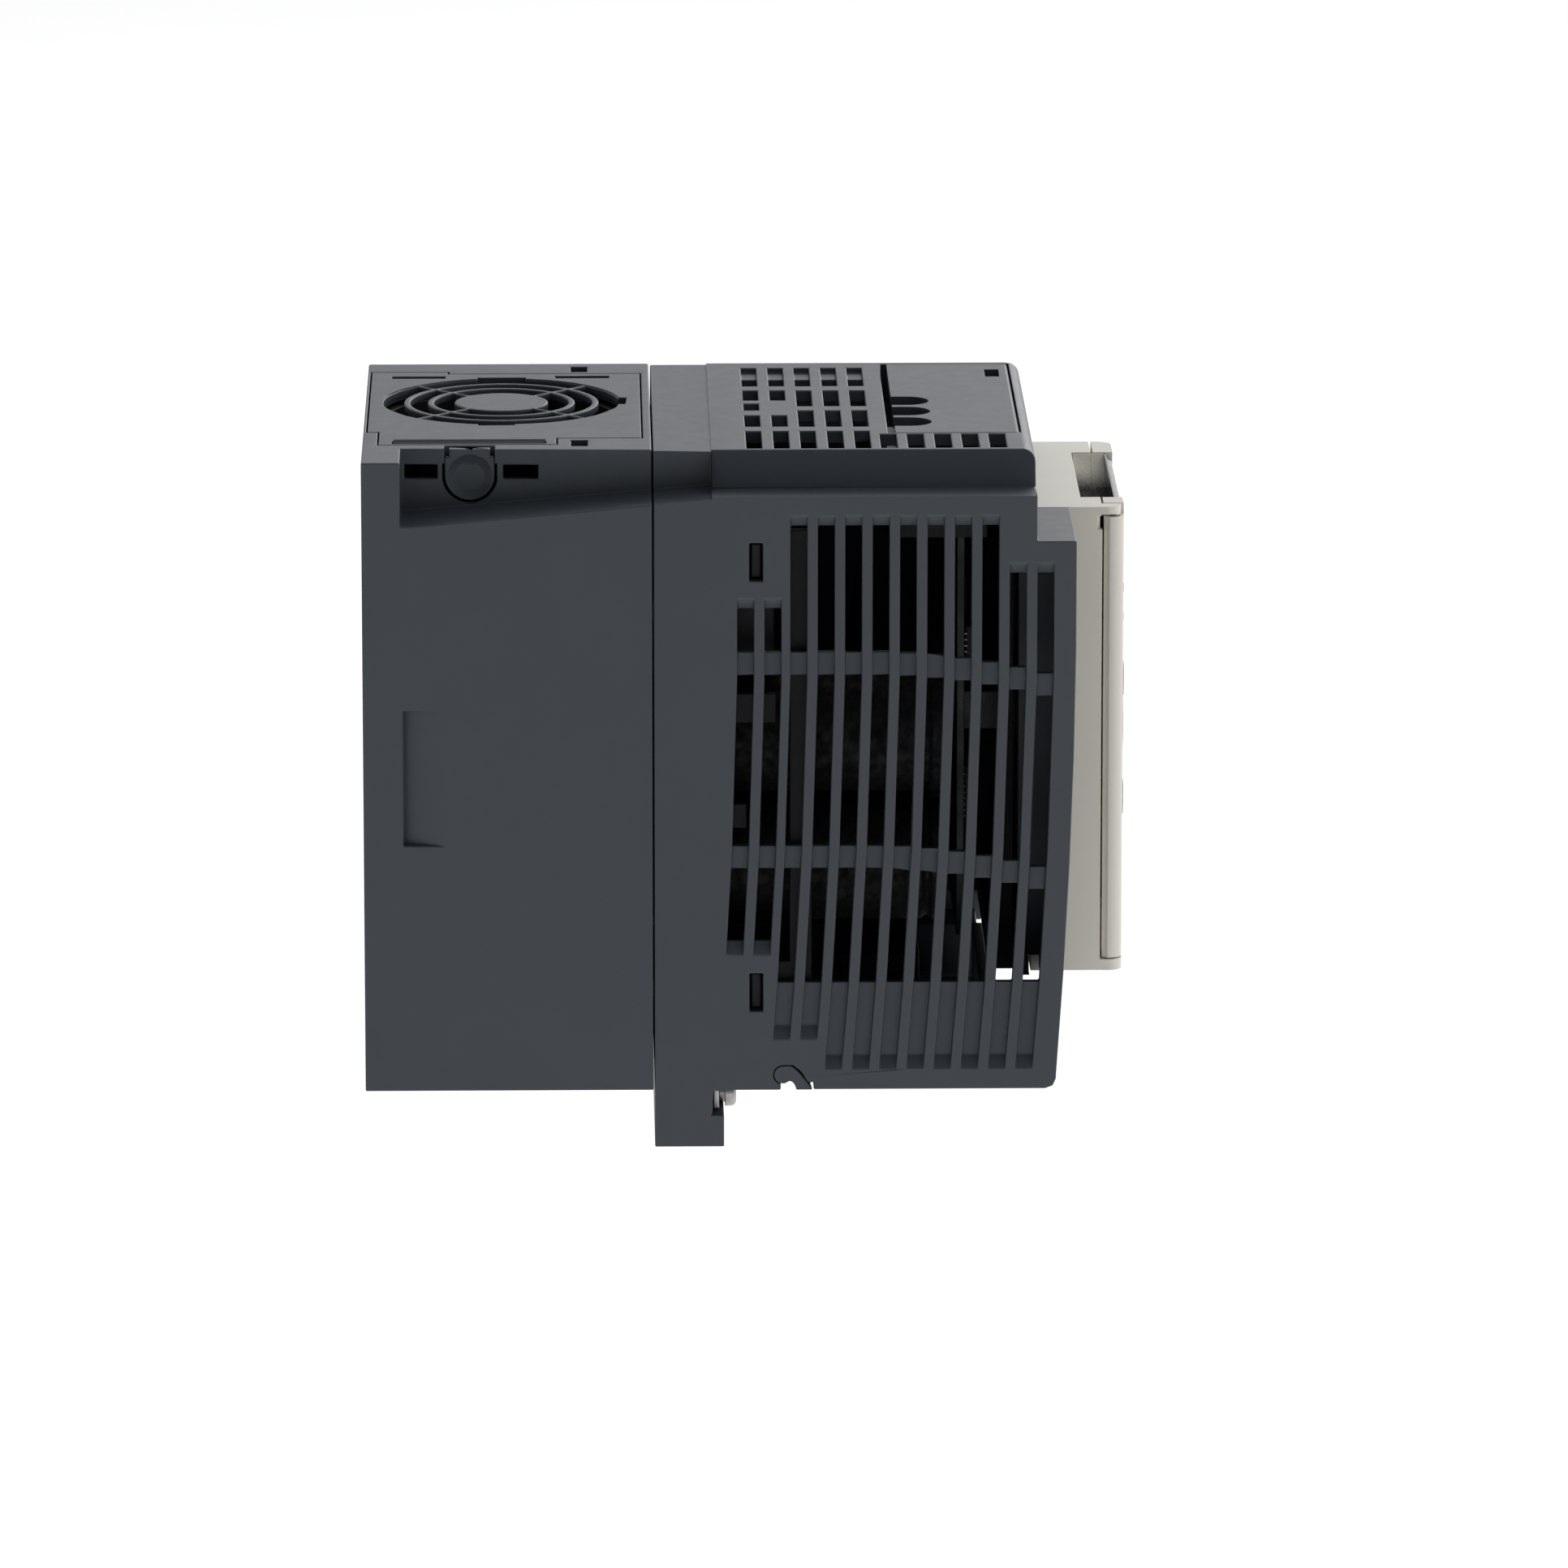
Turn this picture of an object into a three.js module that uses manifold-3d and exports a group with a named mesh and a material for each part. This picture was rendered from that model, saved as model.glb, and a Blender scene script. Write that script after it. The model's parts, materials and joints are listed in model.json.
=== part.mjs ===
// Compact variable frequency drive, millimetres, +Z up.
//
// The pieces are drawn in a bench frame: X runs from the left side (0) to the right side, the
// depth d runs from the wall (0) forward, and Z runs up from the foot of the earth tab. The last
// lines move the whole drive so that its origin is the centre of the back mounting face, midway
// between the two mounting holes, with the front facing -Y.

import * as THREE from 'three';
import { mergeVertices } from 'three/addons/utils/BufferGeometryUtils.js';
import Module from 'manifold-3d';

const wasm = await Module();
wasm.setup();

// ---------------------------------------------------------------- driving dimensions

const WIDTH = 105;
const HEIGHT = 143;
const FLOOR = 12; // underside of both housings, above the foot of the earth tab
const GAP = 0.3; // clearance between neighbouring pieces
const PAST = 1; // how far a cutter runs past the face that it opens

const SEAM = 59; // depth of the parting line between the rear and front housings
const NECK = 71; // depth where the front housing steps up to its full size
const FRONT = 136.9; // depth of the front wall behind the operator panel
const REAR_WALL = 3;
const BACK_WALL = 2.5; // the closed plate that meets the wall
const SIDE_WALL = 3.6;
const ROOF = 2.6; // thickness of the top and bottom walls

const MOUNT_HOLE = 5; // diameter
const MOUNT_LEFT = { x: 6, z: 138.25 };
const MOUNT_RIGHT = { x: 99, z: 16.75 };
const FLANGE = 7.8; // thickness of the mounting flanges

const SEAT_DEPTH = 2.6; // the pocket is square to the flange for this length
const POCKET_WALL_X = 14.8; // inner wall of the screwdriver pocket at the rear
const POCKET_FLOOR_Z = 129.8; // its floor at the rear
const POCKET_RISE = 0.087; // rise of the floor per millimetre forward
const POCKET_DRIFT = -0.035; // how far the wall moves left per millimetre forward
const LEDGE_Z = 135.8; // floor of the shoulder along the front housing
const SHOULDER_FOOT_X = 9.6;
const SHOULDER_TOP_X = 12.7;
const CHANNEL_X = 91; // inner wall of the lower right screwdriver channel
const CHANNEL_Z = 23; // its ceiling

const FAN = { x: 64.5, d: 28.1, opening: 24.6, size: 50 };
const RING_RADII = [14.6, 19.5];
const HUB_PLATE_RADIUS = 9.7;
const LID = 2.6; // thickness of the fan cover

const CHEEK_RIGHT = 34; // the left cheek of the front housing ends here
const CHEEK_TOP = 126.4;
const LOUVRE_WIDTH = 3.4;
const LOUVRE_PITCH = 5.56;
const LOUVRE_DEPTH = 1.9; // depth of the groove that the openings lie in
const LOUVRE_RAMP = 2.5; // sloping ends of each groove
const SILL = 34.2; // lowest edge of the open louvres
const ARC_LEVELS = [34.2, 62, 98]; // where the straight runs of each louvre meet

const PANEL = { x0: 34.7, x1: 103.2, z0: 28.3, z1: 126.3, back: 137.2, seam: 151.6, front: 156.2 };
const PANEL_WALL = 2.5;
const LIP_Z = 30.6; // top of the lip under the door
const DOOR_PIN = { x: 36.9, d: 154.2, radius: 0.7 };
const LENS = { x0: 45, x1: 91.5, z0: 99.5 };
const DIAL = { x: 69, z: 76, radius: 13, face: 157.2 };
const KEY = { width: 12, height: 7.5, face: 156.5, back: 154.5 };

const FLAP = { x0: 30, x1: 103, d0: 108.9, hingeD: 133.2, hingeZ: 141.8, thickness: 2.4 };
const LOWER_HINGE = { d: 85.4, z: 15.1, radius: 1.8 };

const CASE_SCREWS = [[98.5, 136.5], [7, 18.5]];
const CASE_BOSS = { radius: 5, bore: 2.3, depth: 12 };
const MODULE_SCREWS = [[33, 80], [71, 80]];
const BUS_CAPACITORS = [[24, 82], [24, 55], [52, 68]];
const EARTH_SCREWS = [11, 94];
const EARTH_Z = 8.9;
const EARTH_BORE = 1.7;

// ---------------------------------------------------------------- finishes

const finish = (color, roughness, metalness) => ({ color, roughness, metalness });
const DARK_PLASTIC = finish('#42484f', 0.55, 0);
const LIGHT_PLASTIC = finish('#d9d5cb', 0.5, 0);
const BLACK_PLASTIC = finish('#1c1c1e', 0.5, 0);
const GREY_PLASTIC = finish('#5b5f63', 0.55, 0);
const GLOSS_DARK = finish('#15171a', 0.12, 0);
const ALUMINIUM = finish('#b9bcc0', 0.4, 1);
const STEEL = finish('#a9abad', 0.35, 1);
const BOARD_GREEN = finish('#1f4a34', 0.6, 0);
const CAN_SLEEVE = finish('#2a211c', 0.4, 0);
const RED_PLASTIC = finish('#a5322a', 0.45, 0);
const GREEN_PLASTIC = finish('#3b7f53', 0.45, 0);

// ---------------------------------------------------------------- solids and booleans

function toSolid(geometry) {
  const bare = geometry.clone();
  bare.deleteAttribute('normal');
  bare.deleteAttribute('uv');
  const merged = mergeVertices(bare, 1e-4);
  const vertProperties = new Float32Array(merged.attributes.position.array);
  const triVerts = new Uint32Array(merged.index.array);
  return new wasm.Manifold(new wasm.Mesh({ numProp: 3, vertProperties, triVerts }));
}

function join(...solids) {
  return solids.reduce((whole, solid) => whole.add(solid));
}

function cut(solid, ...cutters) {
  return cutters.reduce((rest, cutter) => rest.subtract(cutter), solid);
}

function piece(name, solid, look) {
  const mesh = solid.getMesh();
  const geometry = new THREE.BufferGeometry();
  geometry.setAttribute('position', new THREE.BufferAttribute(mesh.vertProperties, 3));
  geometry.setIndex(new THREE.BufferAttribute(mesh.triVerts, 1));
  geometry.computeVertexNormals();
  const made = new THREE.Mesh(geometry, new THREE.MeshStandardMaterial(look));
  made.name = name;
  return made;
}

// A box between two corners, with its depth measured from the wall.
function block(x0, x1, d0, d1, z0, z1) {
  const geometry = new THREE.BoxGeometry(x1 - x0, d1 - d0, z1 - z0);
  return toSolid(geometry.translate((x0 + x1) / 2, -(d0 + d1) / 2, (z0 + z1) / 2));
}

function asPoints(pairs) {
  return pairs.map(([u, v]) => new THREE.Vector2(u, v));
}

// An outline is a shape or a list of corner points.
function extrude(outline, length, curveSegments) {
  const shape = Array.isArray(outline) ? new THREE.Shape(asPoints(outline)) : outline;
  return new THREE.ExtrudeGeometry(shape, { depth: length, bevelEnabled: false, curveSegments });
}

// Outline points are (depth, z); the piece runs along X.
function alongX(outline, x0, x1, curveSegments = 8) {
  const place = new THREE.Matrix4().set(0, 0, -1, x1, -1, 0, 0, 0, 0, 1, 0, 0, 0, 0, 0, 1);
  return toSolid(extrude(outline, x1 - x0, curveSegments).applyMatrix4(place));
}

// Outline points are (x, z); the piece runs along the depth.
function alongDepth(outline, d0, d1, curveSegments = 8) {
  const place = new THREE.Matrix4().set(1, 0, 0, 0, 0, 0, -1, -d0, 0, 1, 0, 0, 0, 0, 0, 1);
  return toSolid(extrude(outline, d1 - d0, curveSegments).applyMatrix4(place));
}

// Outline points are (x, depth); the piece runs along Z.
function alongZ(outline, z0, z1, curveSegments = 8) {
  const place = new THREE.Matrix4().set(1, 0, 0, 0, 0, -1, 0, 0, 0, 0, -1, z1, 0, 0, 0, 1);
  return toSolid(extrude(outline, z1 - z0, curveSegments).applyMatrix4(place));
}

function rodX(d, z, radius, x0, x1, sides = 20) {
  const geometry = new THREE.CylinderGeometry(radius, radius, x1 - x0, sides).rotateZ(Math.PI / 2);
  return toSolid(geometry.translate((x0 + x1) / 2, -d, z));
}

function rodDepth(x, z, radius, d0, d1, sides = 20) {
  const geometry = new THREE.CylinderGeometry(radius, radius, d1 - d0, sides);
  return toSolid(geometry.translate(x, -(d0 + d1) / 2, z));
}

function rodZ(x, d, radius, z0, z1, sides = 20) {
  const geometry = new THREE.CylinderGeometry(radius, radius, z1 - z0, sides).rotateX(Math.PI / 2);
  return toSolid(geometry.translate(x, -d, (z0 + z1) / 2));
}

function roundedRect(u0, u1, v0, v1, radius) {
  const shape = new THREE.Shape();
  shape.moveTo(u0 + radius, v0);
  shape.lineTo(u1 - radius, v0);
  shape.absarc(u1 - radius, v0 + radius, radius, -Math.PI / 2, 0);
  shape.absarc(u1 - radius, v1 - radius, radius, 0, Math.PI / 2);
  shape.absarc(u0 + radius, v1 - radius, radius, Math.PI / 2, Math.PI);
  shape.absarc(u0 + radius, v0 + radius, radius, Math.PI, Math.PI * 1.5);
  return shape;
}

// ---------------------------------------------------------------- rear housing

// The screwdriver pocket at the top left, from the mounting flange forward. It starts square to the
// flange, so that a washer can lie flat on it; then its floor rises and its wall drifts left.
// `grow` swells it into the pocket's own walls.
function leftPocket(grow = 0) {
  const floor = POCKET_FLOOR_Z - grow;
  const wall = POCKET_WALL_X + grow;
  const outline = [
    [-20, floor], [SHOULDER_FOOT_X, floor], [wall, floor + 0.5], [wall, HEIGHT + 8], [-20, HEIGHT + 8],
  ];
  const length = NECK + GAP - FLANGE;
  const sloped = length - SEAT_DEPTH;
  const place = (d) => new THREE.Matrix4().set(1, 0, 0, 0, 0, 0, -1, -d, 0, 1, 0, 0, 0, 0, 0, 1);
  const drift = (POCKET_DRIFT * length) / sloped;
  const rise = (POCKET_RISE * length) / sloped;
  const lean = new THREE.Matrix4().set(1, 0, drift, 0, 0, 1, rise, 0, 0, 0, 1, 0, 0, 0, 0, 1);
  return join(
    toSolid(extrude(outline, SEAT_DEPTH, 1).applyMatrix4(place(FLANGE))),
    toSolid(extrude(outline, sloped, 1).applyMatrix4(lean).applyMatrix4(place(FLANGE + SEAT_DEPTH))),
  );
}

// The lower right screwdriver channel runs along both housings.
function rightChannel(d0, d1, grow = 0) {
  return block(CHANNEL_X - grow, WIDTH + 20, d0, d1, -20, CHANNEL_Z + grow);
}

// Plan of the fan cover, pulled in by `gap` all round.
function fanCoverPlan(gap) {
  return [
    [18.8 + gap, 3 + gap], [32 + gap, 3 + gap], [32 + gap, 0.6 + gap], [96.4 - gap, 0.6 + gap],
    [96.4 - gap, 17 - gap], [94.3 - gap, 17 - gap], [94.3 - gap, 57.2 - gap], [25.2 + gap, 57.2 - gap],
    [25.2 + gap, 39.8 - gap], [18.8 + gap, 39.8 - gap],
  ];
}

// The thumb opening for the fan latch: straight sides and a round lower end.
function latchOutline(grow) {
  const centre = 21.9;
  const half = 5.1 + grow;
  const shape = new THREE.Shape();
  shape.moveTo(centre - half, HEIGHT - 4 + PAST);
  shape.lineTo(centre - half, 137.4);
  shape.absarc(centre, 137.4, half, Math.PI, Math.PI * 2);
  shape.lineTo(centre + half, HEIGHT - 4 + PAST);
  return shape;
}

function gripWedge() {
  const outline = [[-PAST, 8.1], [0, 8.1], [2.2, 8.1], [0, 16.8], [-PAST, 16.8]];
  return alongZ(outline, 63.5, 91.6);
}

function inletSlots() {
  const slots = [];
  for (let x = 22; x < 82; x += 7) {
    slots.push(block(x, x + 3.6, 8, 42, FLOOR - PAST, FLOOR + REAR_WALL + PAST));
  }
  return slots;
}

function rearHousing() {
  const outer = block(0, WIDTH, 0, SEAM - 0.15, FLOOR, HEIGHT);
  const side = REAR_WALL;
  const hollow = block(side, WIDTH - side, BACK_WALL, SEAM + PAST, FLOOR + side, HEIGHT - ROOF);
  const within = (solid) => solid.intersect(outer);
  const shell = join(
    cut(outer, hollow),
    within(leftPocket(2.2)),
    within(block(-PAST, POCKET_WALL_X + 2.2, 0, FLANGE + 0.1, POCKET_FLOOR_Z - 2.2, HEIGHT)),
    within(rightChannel(0, SEAM, 2.2)),
    ...CASE_SCREWS.map(([x, z]) => rodDepth(x, z, CASE_BOSS.radius, 0, CASE_BOSS.depth)),
  );
  return cut(
    shell,
    leftPocket(),
    rightChannel(FLANGE, SEAM + PAST),
    rodDepth(MOUNT_LEFT.x, MOUNT_LEFT.z, MOUNT_HOLE / 2, -PAST, FLANGE + PAST),
    rodDepth(MOUNT_RIGHT.x, MOUNT_RIGHT.z, MOUNT_HOLE / 2, -PAST, FLANGE + PAST),
    ...CASE_SCREWS.map(([x, z]) => rodDepth(x, z, CASE_BOSS.bore, -PAST, CASE_BOSS.depth + PAST)),
    alongZ(fanCoverPlan(0), HEIGHT - ROOF - 0.1, HEIGHT + PAST),
    alongX(latchOutline(0.5), 10, 18),
    block(10, 18, 8.6, 15.3, 136.8, 139.7),
    block(10, 18, 28.7, 35.8, 136.8, 139.7),
    block(17.2, 23.2, 42.5, 45.9, HEIGHT - ROOF - PAST, HEIGHT + PAST),
    block(96, 101.6, 42.5, 45.9, HEIGHT - ROOF - PAST, HEIGHT + PAST),
    gripWedge(),
    ...inletSlots(),
  );
}

function heatsink() {
  const base = cut(
    block(REAR_WALL + GAP, WIDTH - REAR_WALL - GAP, 47, 52, FLOOR + REAR_WALL + GAP, 118),
    block(CHANNEL_X - 3, WIDTH, 40, 60, FLOOR, CHANNEL_Z + 3),
  );
  const fins = [];
  for (let x = 6; x <= 98; x += 5.6) {
    fins.push(block(x, x + 1.6, BACK_WALL + 2, 47.5, 27, 116));
  }
  return join(base, ...fins);
}

// ---------------------------------------------------------------- fan module

function grilleBar(angle) {
  const inner = HUB_PLATE_RADIUS - 1;
  const outer = FAN.opening + 0.6;
  const bar = new THREE.BoxGeometry(outer - inner, 1, 2.2).translate((outer + inner) / 2, 0, 0);
  bar.rotateZ(angle).translate(FAN.x, -FAN.d, HEIGHT - 1.3);
  return toSolid(bar);
}

function grilleRing(radius) {
  const half = 0.6;
  const low = HEIGHT - 2.4;
  const high = HEIGHT - 0.2;
  const profile = [
    [radius - half, low], [radius + half, low], [radius + half, high], [radius - half, high],
    [radius - half, low],
  ];
  const ring = new THREE.LatheGeometry(asPoints(profile), 40).rotateX(Math.PI / 2);
  return toSolid(ring.translate(FAN.x, -FAN.d, 0));
}

function fanCover() {
  const low = HEIGHT - LID;
  const plate = cut(
    alongZ(fanCoverPlan(GAP), low + 0.2, HEIGHT),
    rodZ(FAN.x, FAN.d, FAN.opening, low - PAST, HEIGHT + PAST, 48),
    block(FAN.x - 3.6, FAN.x + 3.6, FAN.d + 20, 54, low - PAST, HEIGHT + PAST),
    block(86, 90, 23, 33, low - PAST, HEIGHT + PAST),
    block(39, 42, 23.5, 31, low - PAST, HEIGHT + PAST),
    block(89.2, 91.6, 5.1, 16.2, low - PAST, HEIGHT + PAST),
    block(89.2, 91.6, 39.3, 50.5, low - PAST, HEIGHT + PAST),
    block(19.9, 22.6, 6, 37.5, HEIGHT - 1.2, HEIGHT + PAST),
  );
  const bars = [1, 3, 5, 7].map((eighth) => grilleBar((eighth * Math.PI) / 4));
  const rails = join(
    block(FAN.x - 27, FAN.x - 25.3, 6, 50, HEIGHT - 12, low + 0.5),
    block(FAN.x + 25.3, FAN.x + 27, 6, 50, HEIGHT - 12, low + 0.5),
    block(19.3, 21.3, 18, 25.8, 136.5, low + 0.5),
  );
  const hub = rodZ(FAN.x, FAN.d, HUB_PLATE_RADIUS, HEIGHT - 2.4, HEIGHT - 0.2, 28);
  return join(plate, hub, ...RING_RADII.map(grilleRing), ...bars, rails);
}

// The thumb tab hangs from a lug that lies in a notch of the pocket wall.
function fanLatch() {
  const tab = alongX(latchOutline(-0.1), 15.4, 16.9);
  const lug = block(15.4, 18.9, 18, 25.8, 138, 139.6);
  return join(tab.intersect(block(10, 20, 10, 35, 120, 139.6)), lug);
}

function fanFrame() {
  const half = FAN.size / 2;
  const low = 118.5;
  const high = HEIGHT - 3.2;
  const shell = cut(
    alongZ(roundedRect(FAN.x - half, FAN.x + half, FAN.d - half, FAN.d + half, 4), low, high, 3),
    rodZ(FAN.x, FAN.d, 23.4, low - PAST, high + PAST, 40),
  );
  const struts = [0, 1, 2].map((third) => {
    const strut = new THREE.BoxGeometry(24, 2, 2).translate(12, 0, 0);
    strut.rotateZ((third * 2 * Math.PI) / 3 + 0.4).translate(FAN.x, -FAN.d, low + 1);
    return toSolid(strut);
  });
  return join(shell, ...struts, rodZ(FAN.x, FAN.d, 10, low, low + 3, 28));
}

function fanRotor() {
  const low = 122.2;
  const hub = rodZ(FAN.x, FAN.d, 10.6, low, low + 15, 28);
  const blades = [];
  for (let i = 0; i < 7; i += 1) {
    const blade = new THREE.BoxGeometry(12.6, 1.2, 14).translate(16, 0, 0);
    blade.rotateX(0.62).rotateZ((i * 2 * Math.PI) / 7);
    blades.push(toSolid(blade.translate(FAN.x, -FAN.d, low + 7.6)));
  }
  return join(hub, ...blades);
}

// ---------------------------------------------------------------- front housing

// The front edge of the left cheek leans back towards its foot, as an arc.
function cheekFront(z) {
  const crest = 101;
  const radius = 1420;
  const drop = Math.max(0, crest - z);
  return 144.9 - (radius - Math.sqrt(radius * radius - drop * drop)) - drop * 0.012;
}

// The louvres stand parallel to the front edge of the cheek.
function louvreDepth(top, z) {
  return top - (cheekFront(118) - cheekFront(z)) * 1.12;
}

// One slot from `zLow` to `zHigh`, following the arc between shared levels, cut `depth` deep into
// the side wall.
function louvreSlot(top, zLow, zHigh, depth) {
  const levels = [0, ...ARC_LEVELS, HEIGHT];
  const spine = levels.map((z) => [louvreDepth(top, z), z]);
  const front = spine.map(([d, z]) => [d + LOUVRE_WIDTH, z]);
  const strip = alongX([...front, ...spine.reverse()], -PAST, depth);
  return strip.intersect(block(-2 * PAST, depth + PAST, 60, 150, zLow, zHigh));
}

// The groove fades out to the side face at both ends.
function louvreGroove(top, zLow, zHigh) {
  const profile = [
    [-PAST, zLow], [0, zLow], [LOUVRE_DEPTH, zLow + LOUVRE_RAMP],
    [LOUVRE_DEPTH, zHigh - LOUVRE_RAMP], [0, zHigh], [-PAST, zHigh],
  ];
  const strip = louvreSlot(top, zLow - PAST, zHigh + PAST, LOUVRE_DEPTH + PAST);
  return strip.intersect(alongDepth(profile, 60, 150));
}

// The groups of louvres on the left side: the depth of the rearmost one, their number, both ends
// of the grooves, and the lowest edge of the openings in them.
const LOUVRE_GROUPS = [
  { first: 76.1, count: 2, foot: 40.3, head: 114.8, open: 42.9 },
  { first: 86.9, count: 2, foot: 22.6, head: 131.9, open: SILL },
  { first: 98.0, count: 6, foot: 16.3, head: 131.9, open: SILL },
  { first: 131.4, count: 2, foot: 16.3, head: 122, open: SILL },
];

// The right side has the same louvres as far as the screwdriver channel lets them run.
const RIGHT_GROUPS = LOUVRE_GROUPS.slice(0, 3).map((group) => ({
  ...group, foot: Math.max(group.foot, 30), open: Math.max(group.open, SILL),
}));

// The two cross bars sag towards the front.
function barCentre(d, level) {
  const sag = Math.max(0, d - 100) / 37;
  return level - 4.6 * sag * sag;
}

function louvreCutters(groups) {
  const cutters = [];
  const bars = [100.9, 60.5];
  const half = 2.37;
  for (const group of groups) {
    for (let i = 0; i < group.count; i += 1) {
      const top = group.first + i * LOUVRE_PITCH;
      const upper = barCentre(top, bars[0]);
      const lower = barCentre(top, bars[1]);
      const head = group.head - LOUVRE_RAMP;
      cutters.push(louvreGroove(top, group.foot, group.head));
      cutters.push(louvreSlot(top, upper + half, head, SIDE_WALL + PAST));
      cutters.push(louvreSlot(top, lower + half, upper - half, SIDE_WALL + PAST));
      cutters.push(louvreSlot(top, group.open, lower - half, SIDE_WALL + PAST));
    }
  }
  return join(...cutters);
}

function mirrored(solid) {
  return solid.mirror([1, 0, 0]).translate([WIDTH, 0, 0]);
}

// Cross-section of the body, without the shoulder at the top left.
function bodySection(inset, wall) {
  const top = HEIGHT - inset;
  return [
    [wall, FLOOR + inset], [WIDTH - wall, FLOOR + inset], [WIDTH - wall, top],
    [SHOULDER_TOP_X + inset, top], [SHOULDER_FOOT_X + inset, LEDGE_Z - inset], [wall, LEDGE_Z - inset],
  ];
}

function frontEdgeTrim() {
  const radius = 2.5;
  const centre = [FRONT - radius, HEIGHT - radius];
  const corner = block(-PAST, WIDTH + PAST, centre[0], FRONT + PAST, centre[1], HEIGHT + PAST);
  return cut(corner, rodX(centre[0], centre[1], radius, -2 * PAST, WIDTH + 2 * PAST, 24));
}

function cheekOutline(inset, top) {
  const points = [[FRONT - 8, FLOOR + inset]];
  const foot = FLOOR + 2 + inset;
  points.push([cheekFront(FLOOR) - 2 - inset, FLOOR + inset]);
  points.push([cheekFront(foot) - 0.6 - inset, FLOOR + 0.6 + inset]);
  for (let i = 0; i <= 5; i += 1) {
    const z = foot + ((top - foot) * i) / 5;
    points.push([cheekFront(z) - inset, z]);
  }
  points.push([FRONT - 8, top]);
  return points;
}

// Openings of the roof as [x from, x to] for each column of vents, front to back.
function roofVents() {
  const far = [79.7, 92.1];
  const near = [14, 32];
  const rows = [
    { d: 78.2, spans: [far, [64.4, 75.2], [53.8, 61.1], [36.7, 48.6], near] },
    { d: 83.8, spans: [far, [64.4, 75.2], [36.7, 48.6], near] },
    { d: 89.3, spans: [far, [58.2, 75], [36.5, 53.6], near] },
    { d: 94.9, spans: [far, [58.2, 75], [36.5, 53.6], near] },
    { d: 100.4, spans: [far, [58.2, 75], [36.5, 53.6], near] },
  ];
  const cutters = [];
  for (const { d, spans } of rows) {
    for (const [x0, x1] of spans) {
      cutters.push(block(x0, x1, d, d + 3.2, HEIGHT - ROOF - PAST, HEIGHT + PAST));
    }
    cutters.push(block(92, 99.5, d, d + 3.2, HEIGHT - 1.1, HEIGHT + PAST));
  }
  for (let i = 0; i < 5; i += 1) {
    const d = 105.6 + i * LOUVRE_PITCH;
    cutters.push(block(14.2, 28.7, d, d + 3.4, HEIGHT - ROOF - PAST, HEIGHT + PAST));
  }
  return cutters;
}

// The recess in the side wall that the lower cover's hinge arm lies in.
function hingeArmOutline(grow) {
  const { d, z, radius } = LOWER_HINGE;
  const shape = new THREE.Shape();
  const r = radius + grow;
  shape.moveTo(d + 0.4, z - r);
  shape.absarc(d, z, r, -Math.PI / 2 + 0.2, Math.PI / 2, true);
  shape.lineTo(d + 1.6 + grow, z + r);
  shape.quadraticCurveTo(d + 3.4 + grow, z + 0.9 + grow, d + 5.9 + grow, FLOOR - grow);
  shape.lineTo(d + 2.7 - grow, FLOOR - grow);
  shape.quadraticCurveTo(d + 2.2, z - 1.2, d + 1.2, z - r + 0.5);
  return shape;
}

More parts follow.
